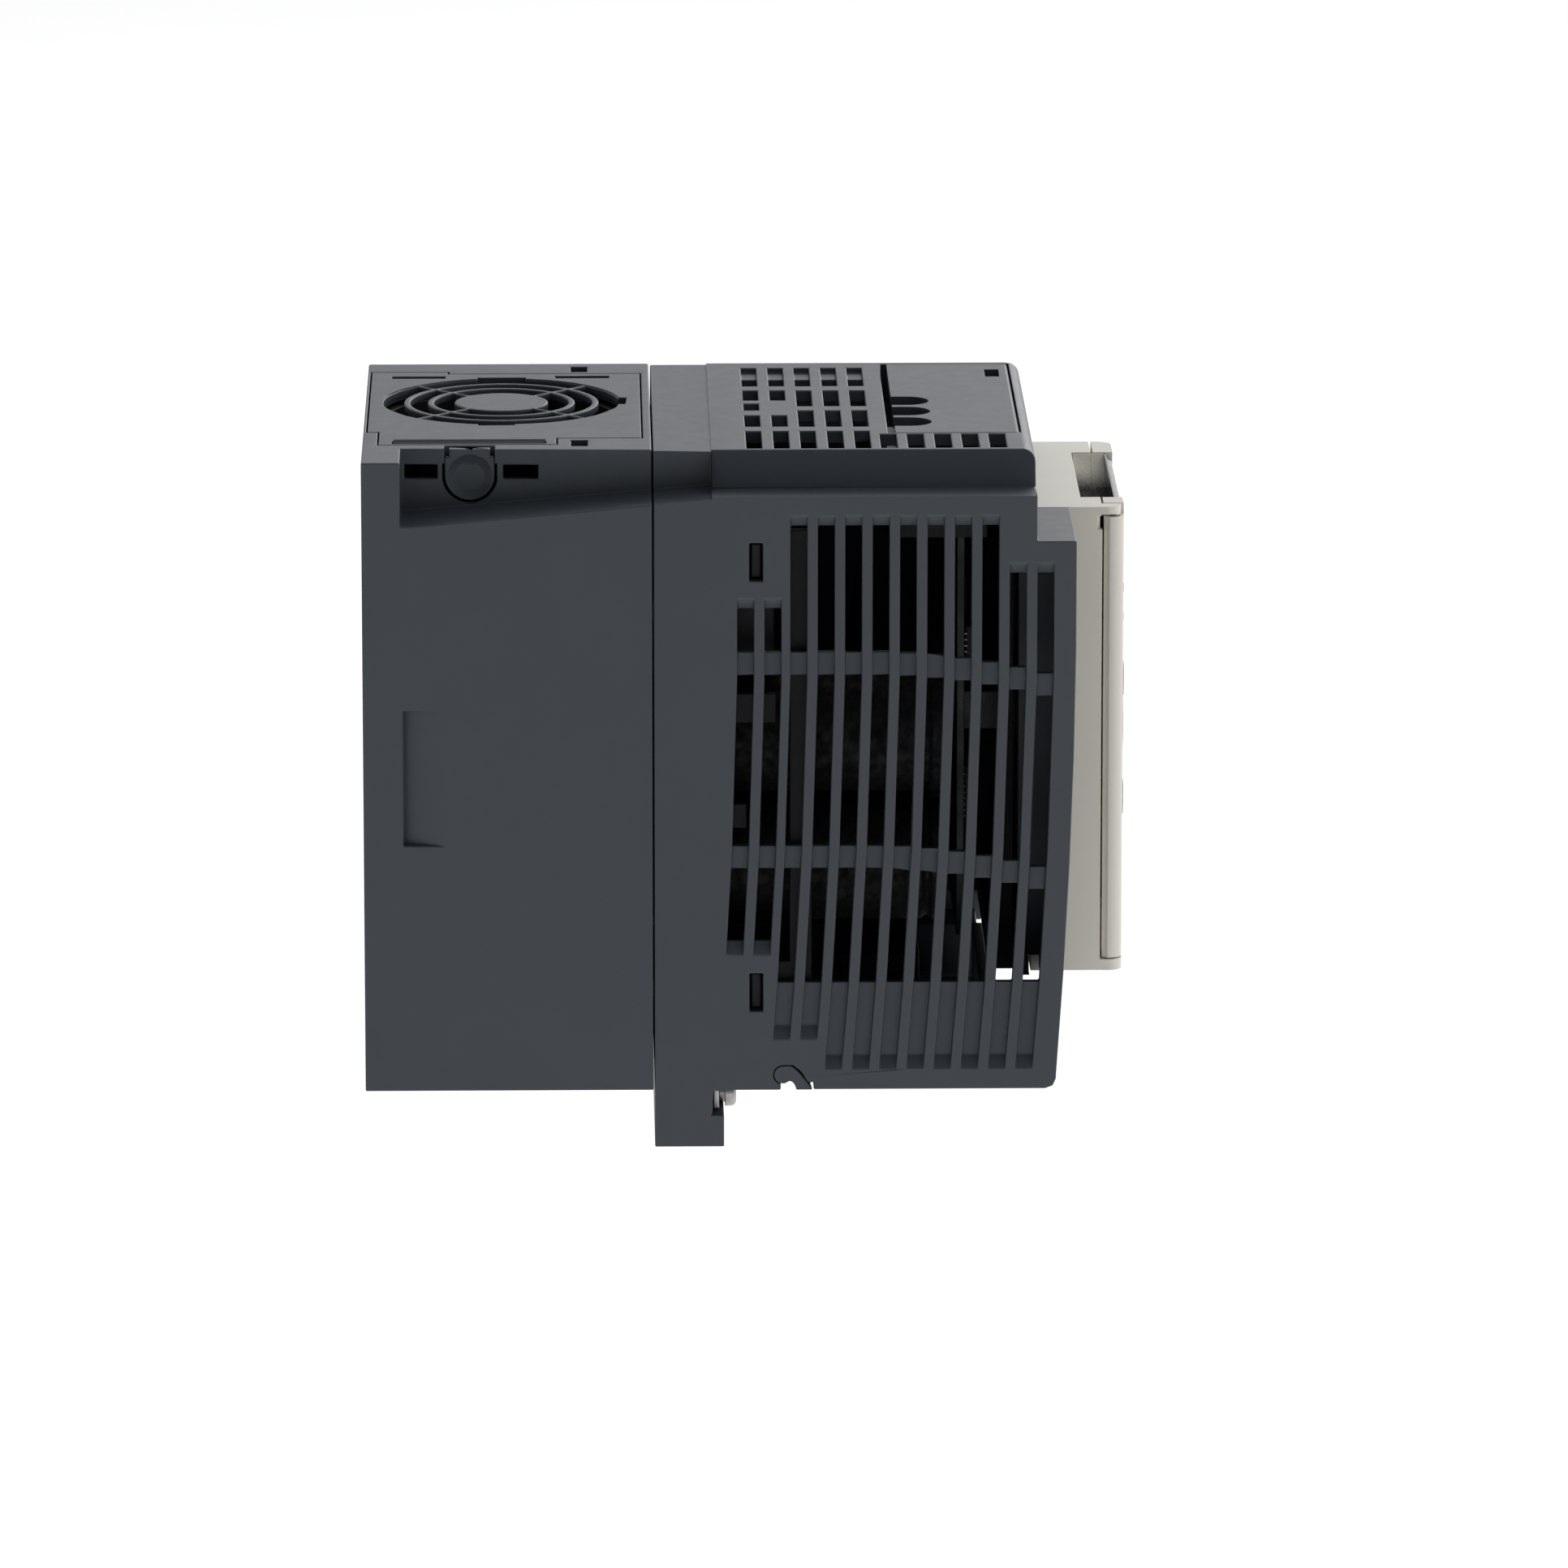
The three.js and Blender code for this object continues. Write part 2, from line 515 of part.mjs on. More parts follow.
function frontHousing() {
  const body = cut(alongDepth(bodySection(0, 0), NECK, FRONT), frontEdgeTrim());
  const neck = cut(
    block(0, WIDTH, SEAM + 0.15, NECK + 0.1, FLOOR - 0.1, HEIGHT - 0.3),
    leftPocket(),
  );
  const tab = cut(
    block(0, WIDTH, SEAM + 0.15, 73.3, 0, FLOOR),
    block(-PAST, WIDTH + PAST, 70.9, 75, 6.7, FLOOR - 0.2),
    block(18, WIDTH - 18, 66, 75, -PAST, 5),
    ...EARTH_SCREWS.map((x) => rodDepth(x, EARTH_Z, EARTH_BORE, 66, 72, 12)),
  );
  const cheek = alongX(cheekOutline(0, CHEEK_TOP), 0, CHEEK_RIGHT);
  const bodyHollow = join(
    alongDepth(bodySection(ROOF, SIDE_WALL), NECK - PAST, FRONT - ROOF),
    cut(
      block(SIDE_WALL, WIDTH - SIDE_WALL, SEAM - PAST, NECK, FLOOR + ROOF, HEIGHT - ROOF),
      leftPocket(2.2),
    ),
  );
  const cheekHollow = alongX(cheekOutline(ROOF, CHEEK_TOP - ROOF), SIDE_WALL, CHEEK_RIGHT - ROOF);
  const channelWalls = rightChannel(SEAM + 0.15, 128, 2.2).intersect(join(body, neck));
  const shell = join(cut(join(body, neck, tab, cheek), bodyHollow, cheekHollow), channelWalls);
  return cut(
    shell,
    rightChannel(SEAM, 129.5).subtract(block(CHANNEL_X - PAST, WIDTH + PAST, SEAM, 73.4, -PAST, FLOOR)),
    block(CHEEK_RIGHT - ROOF - 0.1, WIDTH + PAST, 129.3, 150, -PAST, PANEL.z0 - 0.1),
    block(CHEEK_RIGHT - ROOF - 0.1, CHEEK_RIGHT + PAST, FRONT, 150, PANEL.z0 - 1, PANEL.z0 + 1.1),
    block(20, CHEEK_RIGHT + PAST, FRONT - 4, FRONT + 2, PANEL.z0, PANEL.z0 + 4),
    block(50, 88, FRONT - 5, FRONT + PAST, 50, 110),
    louvreCutters(LOUVRE_GROUPS),
    mirrored(louvreCutters(RIGHT_GROUPS)),
    block(-PAST, SIDE_WALL + PAST, 78.5, 81.3, 118.3, 126.2),
    block(-PAST, SIDE_WALL + PAST, 78.5, 81.3, 28.5, 36.5),
    ...roofVents(),
    block(FLAP.x0 - GAP, FLAP.x1 + GAP, 107.4, FLAP.hingeD + 1.5, HEIGHT - 8, HEIGHT + PAST),
    block(7, 85, LOWER_HINGE.d + 6.2, 129.4, FLOOR - PAST, FLOOR + ROOF + PAST),
    alongX(hingeArmOutline(GAP), -PAST, 3.2),
    block(-PAST, 8.7, LOWER_HINGE.d - 0.5, LOWER_HINGE.d + 6.2, FLOOR - PAST, FLOOR + 1.6),
    block(5.9, 8.7, LOWER_HINGE.d + 6, LOWER_HINGE.d + 7.8, FLOOR - PAST, FLOOR + 1.6),
  );
}

// ---------------------------------------------------------------- terminal covers

function lineTerminalCover() {
  const { x0, x1, d0, hingeD, hingeZ, thickness } = FLAP;
  const half = thickness / 2;
  const outline = new THREE.Shape();
  outline.moveTo(d0, hingeZ - half);
  outline.lineTo(hingeD, hingeZ - half);
  outline.absarc(hingeD, hingeZ, half, -Math.PI / 2, Math.PI / 2);
  outline.lineTo(d0, hingeZ + half);
  const slots = [37, 48.1, 59.1].map((x) => {
    const slot = new THREE.Shape();
    slot.moveTo(x, d0 - PAST);
    slot.lineTo(x, 112.2);
    slot.absarc(x + 4.45, 112.2, 4.45, Math.PI, 0, true);
    slot.lineTo(x + 8.9, d0 - PAST);
    return alongZ(slot, hingeZ - 3, hingeZ + 3, 6);
  });
  return cut(
    alongX(outline, x0, x1, 6),
    ...slots,
    block(89.5, 97.3, 129.3, 132.3, hingeZ - 3, hingeZ + 3),
  );
}

// The lower cover is a tray: a floor with wire slots, a front lip and two hinge arms.
function motorTerminalCover() {
  const { d, z, radius } = LOWER_HINGE;
  const front = 128.9;
  const swing = [
    [d + 6, FLOOR + 0.8], [d + 6.6, FLOOR + 0.8], [d + 7.2, FLOOR + 2.3], [d + 6, FLOOR + 2.3],
  ];
  const tray = join(
    cut(block(7.4, 84.6, d + 6.6, front, FLOOR, FLOOR + 2.2), alongX(swing, 7, 85)),
    block(32, 84.6, front - 2.2, front, FLOOR, 26.5),
  );
  const slots = [];
  for (let i = 0; i < 3; i += 1) {
    const x = 30 + i * 16;
    slots.push(block(x, x + 8.9, front - 12, front - 5, FLOOR - PAST, FLOOR + 3));
  }
  const arm = alongX(hingeArmOutline(0), 0, 2.9);
  const bridge = join(
    block(0.4, 7.6, d + 3.6, d + 5.6, FLOOR, FLOOR + 1.2),
    block(6.2, 8.4, d + 3.6, d + 7.5, FLOOR, FLOOR + 1.2),
  );
  return join(cut(tray, ...slots), arm, bridge);
}

// ---------------------------------------------------------------- operator panel

function panelHousing() {
  const { x0, x1, z0, z1, back, seam, front } = PANEL;
  const wall = PANEL_WALL;
  const body = join(
    block(x0, x1, back, seam, z0, z1),
    block(x0, x1, seam - 0.1, front, z0, LIP_Z),
    block(x0, x0 + 3.7, seam - 0.1, front - 0.7, 124.4, z1),
  );
  return cut(
    body,
    block(x0 + wall, x1 - wall, back + wall, seam + PAST, z0 + wall + 0.5, z1 - wall),
    block(55, 84, back - PAST, back + 4, 55, 105),
    block(LENS.x0, LENS.x1, 147.5, seam + PAST, 117, z1 + PAST),
    block(x0 - PAST, x0 + 1.2, 150.6, seam + 0.5, 121.5, 124.4),
    block(41, 57, 141, seam - 4, z0 - PAST, z0 + 5),
    rodZ(DOOR_PIN.x, DOOR_PIN.d, DOOR_PIN.radius + GAP, LIP_Z - 1.5, LIP_Z + PAST, 12),
    rodZ(DOOR_PIN.x, DOOR_PIN.d, DOOR_PIN.radius + GAP, 124, 125.6, 12),
  );
}

function keyPlace(column, row) {
  return { x: DIAL.x + column * 22, z: DIAL.z + row * 12.5 };
}

function keyOutline({ x, z }, grow) {
  const w = KEY.width / 2 + grow;
  const h = KEY.height / 2 + grow;
  return roundedRect(x - w, x + w, z - h, z + h, 2 + grow);
}

const KEYS = [
  { name: 'esc_button', at: keyPlace(-1, 1), look: GREY_PLASTIC },
  { name: 'mode_button', at: keyPlace(1, 1), look: GREY_PLASTIC },
  { name: 'run_button', at: keyPlace(-1, -1), look: GREEN_PLASTIC },
  { name: 'stop_button', at: keyPlace(1, -1), look: RED_PLASTIC },
];
const LEDS = [{ x: 42, z: 108 }, { x: 42, z: 102 }];
const PORT = { x0: 61.5, x1: 76.5, z0: 36.8, z1: 50 };

function panelDoor() {
  const { x0, x1, z1, seam, front } = PANEL;
  const back = seam + 0.4;
  const plan = [
    [x0 + 0.2, back + 1.1], [x0 + 1.2, back], [x1 - 0.2, back], [x1 - 0.2, front - 1.2],
    [x1 - 1.4, front], [x0 + 0.9, front], [x0 + 0.2, front - 0.7],
  ];
  return cut(
    alongZ(plan, LIP_Z + GAP, z1),
    block(x0 + 4.6, x1 - PANEL_WALL, back - PAST, 154, LIP_Z + 3, z1 - PANEL_WALL),
    block(LENS.x0 - 0.1, LENS.x1 + 0.1, back - PAST, front + PAST, LENS.z0 - 0.1, z1 + PAST),
    block(x0 - PAST, x0 + 4.4, back - PAST, front + PAST, 124.1, z1 + PAST),
    rodZ(DOOR_PIN.x, DOOR_PIN.d, DOOR_PIN.radius + GAP, LIP_Z, 125, 12),
    rodDepth(DIAL.x, DIAL.z, DIAL.radius + 0.4, back, front + PAST, 40),
    ...KEYS.map(({ at }) => alongDepth(keyOutline(at, GAP), back, front + PAST, 3)),
    ...LEDS.map(({ x, z }) => rodDepth(x, z, 1.5, back, front + PAST, 12)),
    block(PORT.x0, PORT.x1, back, front + PAST, PORT.z0, PORT.z1),
  );
}

function displayLens() {
  const back = PANEL.seam + 0.8;
  const face = PANEL.front - 0.2;
  const top = PANEL.z1 - 0.2;
  const outline = [
    [back, 117.5], [face - 1.6, 117.5], [face - 1.6, LENS.z0 + 0.2], [face, LENS.z0 + 0.2],
    [face, top - 1.4], [face - 1.2, top], [back, top],
  ];
  return alongX(outline, LENS.x0 + 0.2, LENS.x1 - 0.2);
}

// A shallow trough in gloss plastic that a finger drops into to pull the door.
function fingerScoop() {
  const radius = 38;
  const body = block(LENS.x0 + GAP, LENS.x1 - GAP, 147.8, 151.5, 117.3, 126.1);
  return cut(body, rodDepth((LENS.x0 + LENS.x1) / 2, 118.6 + radius, radius, 146, 153, 64));
}

function displayModule() {
  return cut(block(51, 86, 150, 153.9, 102, 116.5), block(53, 84, 153.3, 155, 104, 114.5));
}

function jogDial() {
  const { x, z, radius, face } = DIAL;
  const body = rodDepth(x, z, radius, 154.7, face, 40);
  const dimple = new THREE.SphereGeometry(9, 20, 12).translate(x, -(face + 8.1), z + 7.2);
  return cut(body, toSolid(dimple), rodDepth(x, z, 3.4, 150, 155.9, 16));
}

function pushButton({ at }) {
  return alongDepth(keyOutline(at, 0), KEY.back, KEY.face, 4);
}

function controlPanelBoard() {
  const board = cut(
    block(40.2, 99, 148.3, 149.7, 55, 116.8),
    rodDepth(DIAL.x, DIAL.z, 1.5, 147, 151, 10),
  );
  const domes = KEYS.map(({ at }) => rodDepth(at.x, at.z, 2.6, 149.6, 153.3, 12));
  const ledPosts = LEDS.map(({ x, z }) => rodDepth(x, z, 0.9, 149.6, 153.6, 8));
  return join(board, ...domes, ...ledPosts);
}

function rj45Socket() {
  const shell = block(PORT.x0 + 0.4, PORT.x1 - 0.4, 140.2, 153.5, PORT.z0 + 0.4, PORT.z1 - 0.4);
  return cut(
    shell,
    block(PORT.x0 + 1.7, PORT.x1 - 1.7, 142, 155, PORT.z0 + 3.2, PORT.z1 - 1.4),
    block(PORT.x0 + 4.2, PORT.x1 - 4.2, 142, 155, PORT.z0 + 1.5, PORT.z0 + 4),
  );
}

function switchBase() {
  const body = block(82, 94, 140.2, 146, 39, 45);
  return cut(body, block(84, 92, 143.5, 147, 40.6, 43.4));
}

function switchSlider() {
  return block(84.4, 87.6, 143.9, 148.6, 41, 43);
}

function controlTerminalBlock() {
  const body = block(40, 58, 140.2, 147, 34, 50);
  const wells = [0, 1, 2, 3].map((i) => block(41.2 + i * 4.3, 44 + i * 4.3, 143, 148, 36, 40));
  const screws = [0, 1, 2, 3].map((i) => rodDepth(42.6 + i * 4.3, 45, 1.4, 145, 148, 10));
  return cut(body, ...wells, ...screws);
}

// ---------------------------------------------------------------- electronics

function chassisFrame() {
  const x0 = 4.3;
  const x1 = 100.8;
  const arms = [[118.8, 125.6], [29, 36]].map(([z0, z1]) => join(
    block(x0, 6.3, 77, 83, z0 - 1, z1 + 2),
    block(1.8, x0 + 0.1, 79, 80.8, z0, z1),
  ));
  const frame = join(
    cut(block(x0, x1, 61, 63.5, 30, 128), block(x0 + 8, x1 - 8, 60, 65, 38, 120)),
    block(x0, 6.3, 61, 91.3, 30, 38),
    block(x0, 6.3, 61, 91.3, 124, 128),
    block(x0, 6.3, 86.8, 91.3, 30, 128),
    block(x1 - 2, x1, 61, 133.5, 30, 128),
    block(60, x1, 106.2, 107.2, 120, 138),
    block(x0, 6.3, 66, 74, 78, 96),
    block(x0, 6.3, 61, 84, 88, 94),
    block(x0, 6.3, 61, 78, 66, 71),
    block(36, x1, 131, 133.5, 30, 50),
    block(36, x1, 128.5, 134.1, PANEL.z0 + 0.1, 36),
    block(36, x1, 131, 133.5, 112, 128),
    block(36, 40, 131, 133.5, PANEL.z0 + 0.1, 128),
  );
  return join(frame, ...arms);
}

function powerBoard() {
  return block(8, 97, 66.4, 68, 34, 126);
}

function controlBoard() {
  return join(block(42, 97, 122, 123.6, 34, 119), block(60, 80, 123.5, 138.5, 74, 82));
}

function busCapacitor(x, z) {
  const can = rodDepth(x, z, 12.5, 68.3, 119, 28);
  const groove = cut(rodDepth(x, z, 14, 114.5, 115.5, 28), rodDepth(x, z, 12, 114, 116, 28));
  return cut(can, groove);
}

function igbtModule() {
  return cut(
    block(28, 76, 52.3, 66.1, 62, 98),
    ...MODULE_SCREWS.map(([x, z]) => rodDepth(x, z, 2.2, 50, 70, 12)),
  );
}

function filterChoke() {
  const profile = [[7, -6], [14, -6], [14, 6], [7, 6], [7, -6]];
  const ring = new THREE.LatheGeometry(asPoints(profile), 28);
  return toSolid(ring.translate(74, -(68.3 + 6.2), 110));
}

// A row of terminals with walls between them; each well is open on two sides.
function terminalRow({ x0, count, pitch, d0, d1, z0, z1, well }) {
  const body = block(x0, x0 + count * pitch + 1.5, d0, d1, z0, z1);
  const wells = [];
  for (let i = 0; i < count; i += 1) {
    wells.push(well(x0 + 1.5 + i * pitch, x0 + (i + 1) * pitch));
  }
  return cut(body, ...wells);
}

const LINE_ROW = { x0: 34.5, count: 3, pitch: 11, d0: 110, d1: 128, z0: 120, z1: 136 };
const MOTOR_ROW = { x0: 30, count: 3, pitch: 13, d0: 98, d1: 114, z0: 17, z1: 33 };

function lineTerminalBlock() {
  const well = (a, b) => join(
    block(a, b, LINE_ROW.d0 - PAST, LINE_ROW.d0 + 13, 128, LINE_ROW.z1 + PAST),
    block(a + 2, b - 2, LINE_ROW.d0 - PAST, LINE_ROW.d0 + 8, 123, 129),
  );
  return terminalRow({ ...LINE_ROW, well });
}

function motorTerminalBlock() {
  const well = (a, b) => join(
    block(a, b, MOTOR_ROW.d1 - 8, MOTOR_ROW.d1 + PAST, MOTOR_ROW.z0 - PAST, MOTOR_ROW.z1 - 4),
    block(a + 2, b - 2, MOTOR_ROW.d1 - 12, MOTOR_ROW.d1, MOTOR_ROW.z0 - PAST, 22),
  );
  return terminalRow({ ...MOTOR_ROW, well });
}

// ---------------------------------------------------------------- fasteners and earth plate

// A pan-head screw along the depth, its head towards the front, with a cross recess.
function screwForward(x, z, headRadius, shankRadius, tip, seat, face) {
  const head = rodDepth(x, z, headRadius, seat, face, 24);
  const shank = rodDepth(x, z, shankRadius, tip, seat + 0.1, 14);
  const slot = join(
    block(x - headRadius * 0.6, x + headRadius * 0.6, face - 0.9, face + PAST, z - 0.5, z + 0.5),
    block(x - 0.5, x + 0.5, face - 0.9, face + PAST, z - headRadius * 0.6, z + headRadius * 0.6),
  );
  return cut(join(head, shank), slot);
}

function screwUp(x, d, headRadius, shankRadius, tip, seat, face) {
  const head = rodZ(x, d, headRadius, seat, face, 24);
  const shank = rodZ(x, d, shankRadius, tip, seat + 0.1, 14);
  const slot = join(
    block(x - headRadius * 0.6, x + headRadius * 0.6, d - 0.5, d + 0.5, face - 0.9, face + PAST),
    block(x - 0.5, x + 0.5, d - headRadius * 0.6, d + headRadius * 0.6, face - 0.9, face + PAST),
  );
  return cut(join(head, shank), slot);
}

// A case screw driven from the wall side, its head sunk in the housing boss.
function caseScrew(x, z) {
  return cut(
    join(rodDepth(x, z, 1.9, 0.6, 3, 20), rodDepth(x, z, 1.4, 2.9, 12.5, 12)),
    block(x - 1.2, x + 1.2, 0, 1.4, z - 0.3, z + 0.3),
  );
}

function earthPlate() {
  const plate = block(4, WIDTH - 4, 71.2, 72.3, 7, 11.5);
  return cut(plate, ...EARTH_SCREWS.map((x) => rodDepth(x, EARTH_Z, EARTH_BORE, 70, 74, 12)));
}

function earthScrew(x) {
  return join(
    rodDepth(x, EARTH_Z, 2.1, 72.6, 73.7, 20),
    cut(rodDepth(x, EARTH_Z, 3, 73.6, 75.9, 24), block(x - 1.9, x + 1.9, 75.1, 77, 8.4, 9.4)),
    rodDepth(x, EARTH_Z, EARTH_BORE - GAP, 67, 72.7, 12),
  );
}

// ---------------------------------------------------------------- the drive

const drive = new THREE.Group();

drive.add(
  piece('rear_housing', rearHousing(), DARK_PLASTIC),
  piece('heatsink', heatsink(), ALUMINIUM),
  piece('fan_cover', fanCover(), DARK_PLASTIC),
  piece('fan_latch', fanLatch(), DARK_PLASTIC),
  piece('fan_frame', fanFrame(), BLACK_PLASTIC),
  piece('fan_rotor', fanRotor(), BLACK_PLASTIC),
  piece('front_housing', frontHousing(), DARK_PLASTIC),
  piece('line_terminal_cover', lineTerminalCover(), DARK_PLASTIC),
  piece('motor_terminal_cover', motorTerminalCover(), DARK_PLASTIC),
  piece('panel_housing', panelHousing(), LIGHT_PLASTIC),
  piece('panel_door', panelDoor(), LIGHT_PLASTIC),
  piece('door_hinge_pin', rodZ(DOOR_PIN.x, DOOR_PIN.d, DOOR_PIN.radius, LIP_Z - 1.2, 125.3, 12), STEEL),
  piece('display_lens', displayLens(), GLOSS_DARK),
  piece('finger_scoop', fingerScoop(), GLOSS_DARK),
  piece('display_module', displayModule(), BLACK_PLASTIC),
  piece('jog_dial', jogDial(), GREY_PLASTIC),
  piece('jog_dial_shaft', rodDepth(DIAL.x, DIAL.z, 3, 153.7, 155.7, 16), STEEL),
  piece('rotary_encoder', block(62, 76, 150, 152.9, 69, 83), BLACK_PLASTIC),
  piece('panel_board', controlPanelBoard(), BOARD_GREEN),
  piece('rj45_socket', rj45Socket(), BLACK_PLASTIC),
  piece('logic_switch_base', switchBase(), BLACK_PLASTIC),
  piece('logic_switch', switchSlider(), LIGHT_PLASTIC),
  piece('control_terminal_block', controlTerminalBlock(), GREEN_PLASTIC),
  piece('chassis_frame', chassisFrame(), BLACK_PLASTIC),
  piece('power_board', powerBoard(), BOARD_GREEN),
  piece('control_board', controlBoard(), BOARD_GREEN),
  piece('power_module', igbtModule(), BLACK_PLASTIC),
  piece('filter_choke', filterChoke(), CAN_SLEEVE),
  piece('charge_relay', block(12, 29, 68.3, 84, 97, 112), BLACK_PLASTIC),
  piece('line_terminal_block', lineTerminalBlock(), BLACK_PLASTIC),
  piece('motor_terminal_block', motorTerminalBlock(), BLACK_PLASTIC),
  piece('earth_plate', earthPlate(), STEEL),
);

for (const key of KEYS) {
  drive.add(piece(key.name, pushButton(key), key.look));
}

BUS_CAPACITORS.forEach(([x, z], i) => {
  drive.add(piece(`bus_capacitor_${i + 1}`, busCapacitor(x, z), CAN_SLEEVE));
});

LEDS.forEach(({ x, z }, i) => {
  drive.add(piece(`status_led_${i + 1}`, rodDepth(x, z, 1.2, 153.9, 156.4, 12), GREEN_PLASTIC));
});

MODULE_SCREWS.forEach(([x, z], i) => {
  drive.add(piece(`module_screw_${i + 1}`, rodDepth(x, z, 1.8, 52.5, 66, 12), STEEL));
});

for (let i = 0; i < LINE_ROW.count; i += 1) {
  const x = LINE_ROW.x0 + 0.75 + (i + 0.5) * LINE_ROW.pitch;
  const d = LINE_ROW.d0 + 8;
  drive.add(piece(`line_terminal_screw_${i + 1}`, screwUp(x, d, 3.4, 1.6, 128.3, 130, 132.4), STEEL));
}

for (let i = 0; i < MOTOR_ROW.count; i += 1) {
  const x = MOTOR_ROW.x0 + 0.75 + (i + 0.5) * MOTOR_ROW.pitch;
  const d = MOTOR_ROW.d1 - 8;
  drive.add(piece(
    `motor_terminal_screw_${i + 1}`, screwForward(x, 25, 3.6, 1.8, d + GAP, d + 2, d + 4.4), STEEL,
  ));
}

EARTH_SCREWS.forEach((x, i) => {
  drive.add(piece(`earth_screw_${i + 1}`, earthScrew(x), STEEL));
});

CASE_SCREWS.forEach(([x, z], i) => {
  drive.add(piece(`case_screw_${i + 1}`, caseScrew(x, z), STEEL));
});

drive.position.set(-WIDTH / 2, 0, -(MOUNT_LEFT.z + MOUNT_RIGHT.z) / 2);

export default drive;
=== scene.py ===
"""Looks of a compact variable frequency drive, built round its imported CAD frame.

Lengths are in millimetres in the classes and in metres in the scene. Places are given on the
bench: x from the left side, d (depth) from the wall forward, z from the foot of the earth tab.
"""

import json
import logging
import math
from dataclasses import dataclass, field
from enum import Enum
from typing import Iterable

import bmesh
import bpy
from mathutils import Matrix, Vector

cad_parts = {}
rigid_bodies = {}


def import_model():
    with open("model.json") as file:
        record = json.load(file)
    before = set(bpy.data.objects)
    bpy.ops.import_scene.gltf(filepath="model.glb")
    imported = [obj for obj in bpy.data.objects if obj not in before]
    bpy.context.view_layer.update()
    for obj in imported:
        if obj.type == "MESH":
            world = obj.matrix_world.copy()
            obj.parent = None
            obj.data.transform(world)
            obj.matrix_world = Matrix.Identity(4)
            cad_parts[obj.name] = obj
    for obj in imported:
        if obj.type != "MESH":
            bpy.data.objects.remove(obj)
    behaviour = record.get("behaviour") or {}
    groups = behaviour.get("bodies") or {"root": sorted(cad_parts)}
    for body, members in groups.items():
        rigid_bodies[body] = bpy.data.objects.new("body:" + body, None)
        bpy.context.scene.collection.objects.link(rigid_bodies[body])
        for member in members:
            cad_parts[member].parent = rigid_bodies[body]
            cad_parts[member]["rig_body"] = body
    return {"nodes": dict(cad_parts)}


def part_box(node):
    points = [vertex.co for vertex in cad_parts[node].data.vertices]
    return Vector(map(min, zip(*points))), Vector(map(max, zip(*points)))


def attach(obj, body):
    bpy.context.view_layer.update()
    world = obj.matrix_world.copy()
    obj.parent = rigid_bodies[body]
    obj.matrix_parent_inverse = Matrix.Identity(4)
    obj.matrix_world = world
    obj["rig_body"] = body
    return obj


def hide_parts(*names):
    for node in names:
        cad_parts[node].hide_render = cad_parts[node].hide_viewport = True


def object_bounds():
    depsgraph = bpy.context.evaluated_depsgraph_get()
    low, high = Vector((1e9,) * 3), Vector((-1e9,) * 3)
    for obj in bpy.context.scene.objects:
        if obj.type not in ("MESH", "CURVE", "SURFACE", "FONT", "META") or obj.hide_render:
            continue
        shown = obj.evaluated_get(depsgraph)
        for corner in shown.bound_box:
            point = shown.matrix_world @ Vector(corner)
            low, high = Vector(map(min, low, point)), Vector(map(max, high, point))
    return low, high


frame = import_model()
CAD_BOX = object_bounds()

LOG = logging.getLogger("drive")
MM = 0.001


# ------------------------------------------------------------------ places


class Axis(Enum):
    """A direction that a round piece can lie along, as the turn of an upright one."""

    X = (0.0, math.pi / 2, 0.0)
    DEPTH = (math.pi / 2, 0.0, 0.0)
    Z = (0.0, 0.0, 0.0)


def at(x: float, d: float, z: float) -> Vector:
    """Turns a place on the bench, in millimetres, into a point of the frame, in metres."""
    return Vector((CAD_BOX[0].x + x * MM, -d * MM, CAD_BOX[0].z + z * MM))


def bench(point: Vector) -> tuple[float, float, float]:
    """Turns a point of the frame, in metres, into a place on the bench, in millimetres."""
    return (point.x - CAD_BOX[0].x) / MM, -point.y / MM, (point.z - CAD_BOX[0].z) / MM


@dataclass(frozen=True)
class Extent:
    """The box of a CAD node on the bench, in millimetres."""

    x0: float
    x1: float
    d0: float
    d1: float
    z0: float
    z1: float

    @classmethod
    def of(cls, node: str) -> "Extent":
        """Reads the box of a CAD node."""
        low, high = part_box(node)
        x0, d1, z0 = bench(low)
        x1, d0, z1 = bench(high)
        return cls(x0, x1, d0, d1, z0, z1)

    @property
    def centre(self) -> tuple[float, float, float]:
        """The middle of the box."""
        return (self.x0 + self.x1) / 2, (self.d0 + self.d1) / 2, (self.z0 + self.z1) / 2


# ------------------------------------------------------------------ finishes


def linear(code: str) -> tuple[float, float, float, float]:
    """Turns an sRGB hex colour into linear RGBA.

    Args:
        code: six hex digits, with or without a leading hash.

    Returns:
        The linear colour with an alpha of 1.
    """
    code = code.lstrip("#")
    parts = [int(code[i:i + 2], 16) / 255 for i in (0, 2, 4)]
    red, green, blue = [v / 12.92 if v <= 0.04045 else ((v + 0.055) / 1.055) ** 2.4 for v in parts]
    return red, green, blue, 1.0


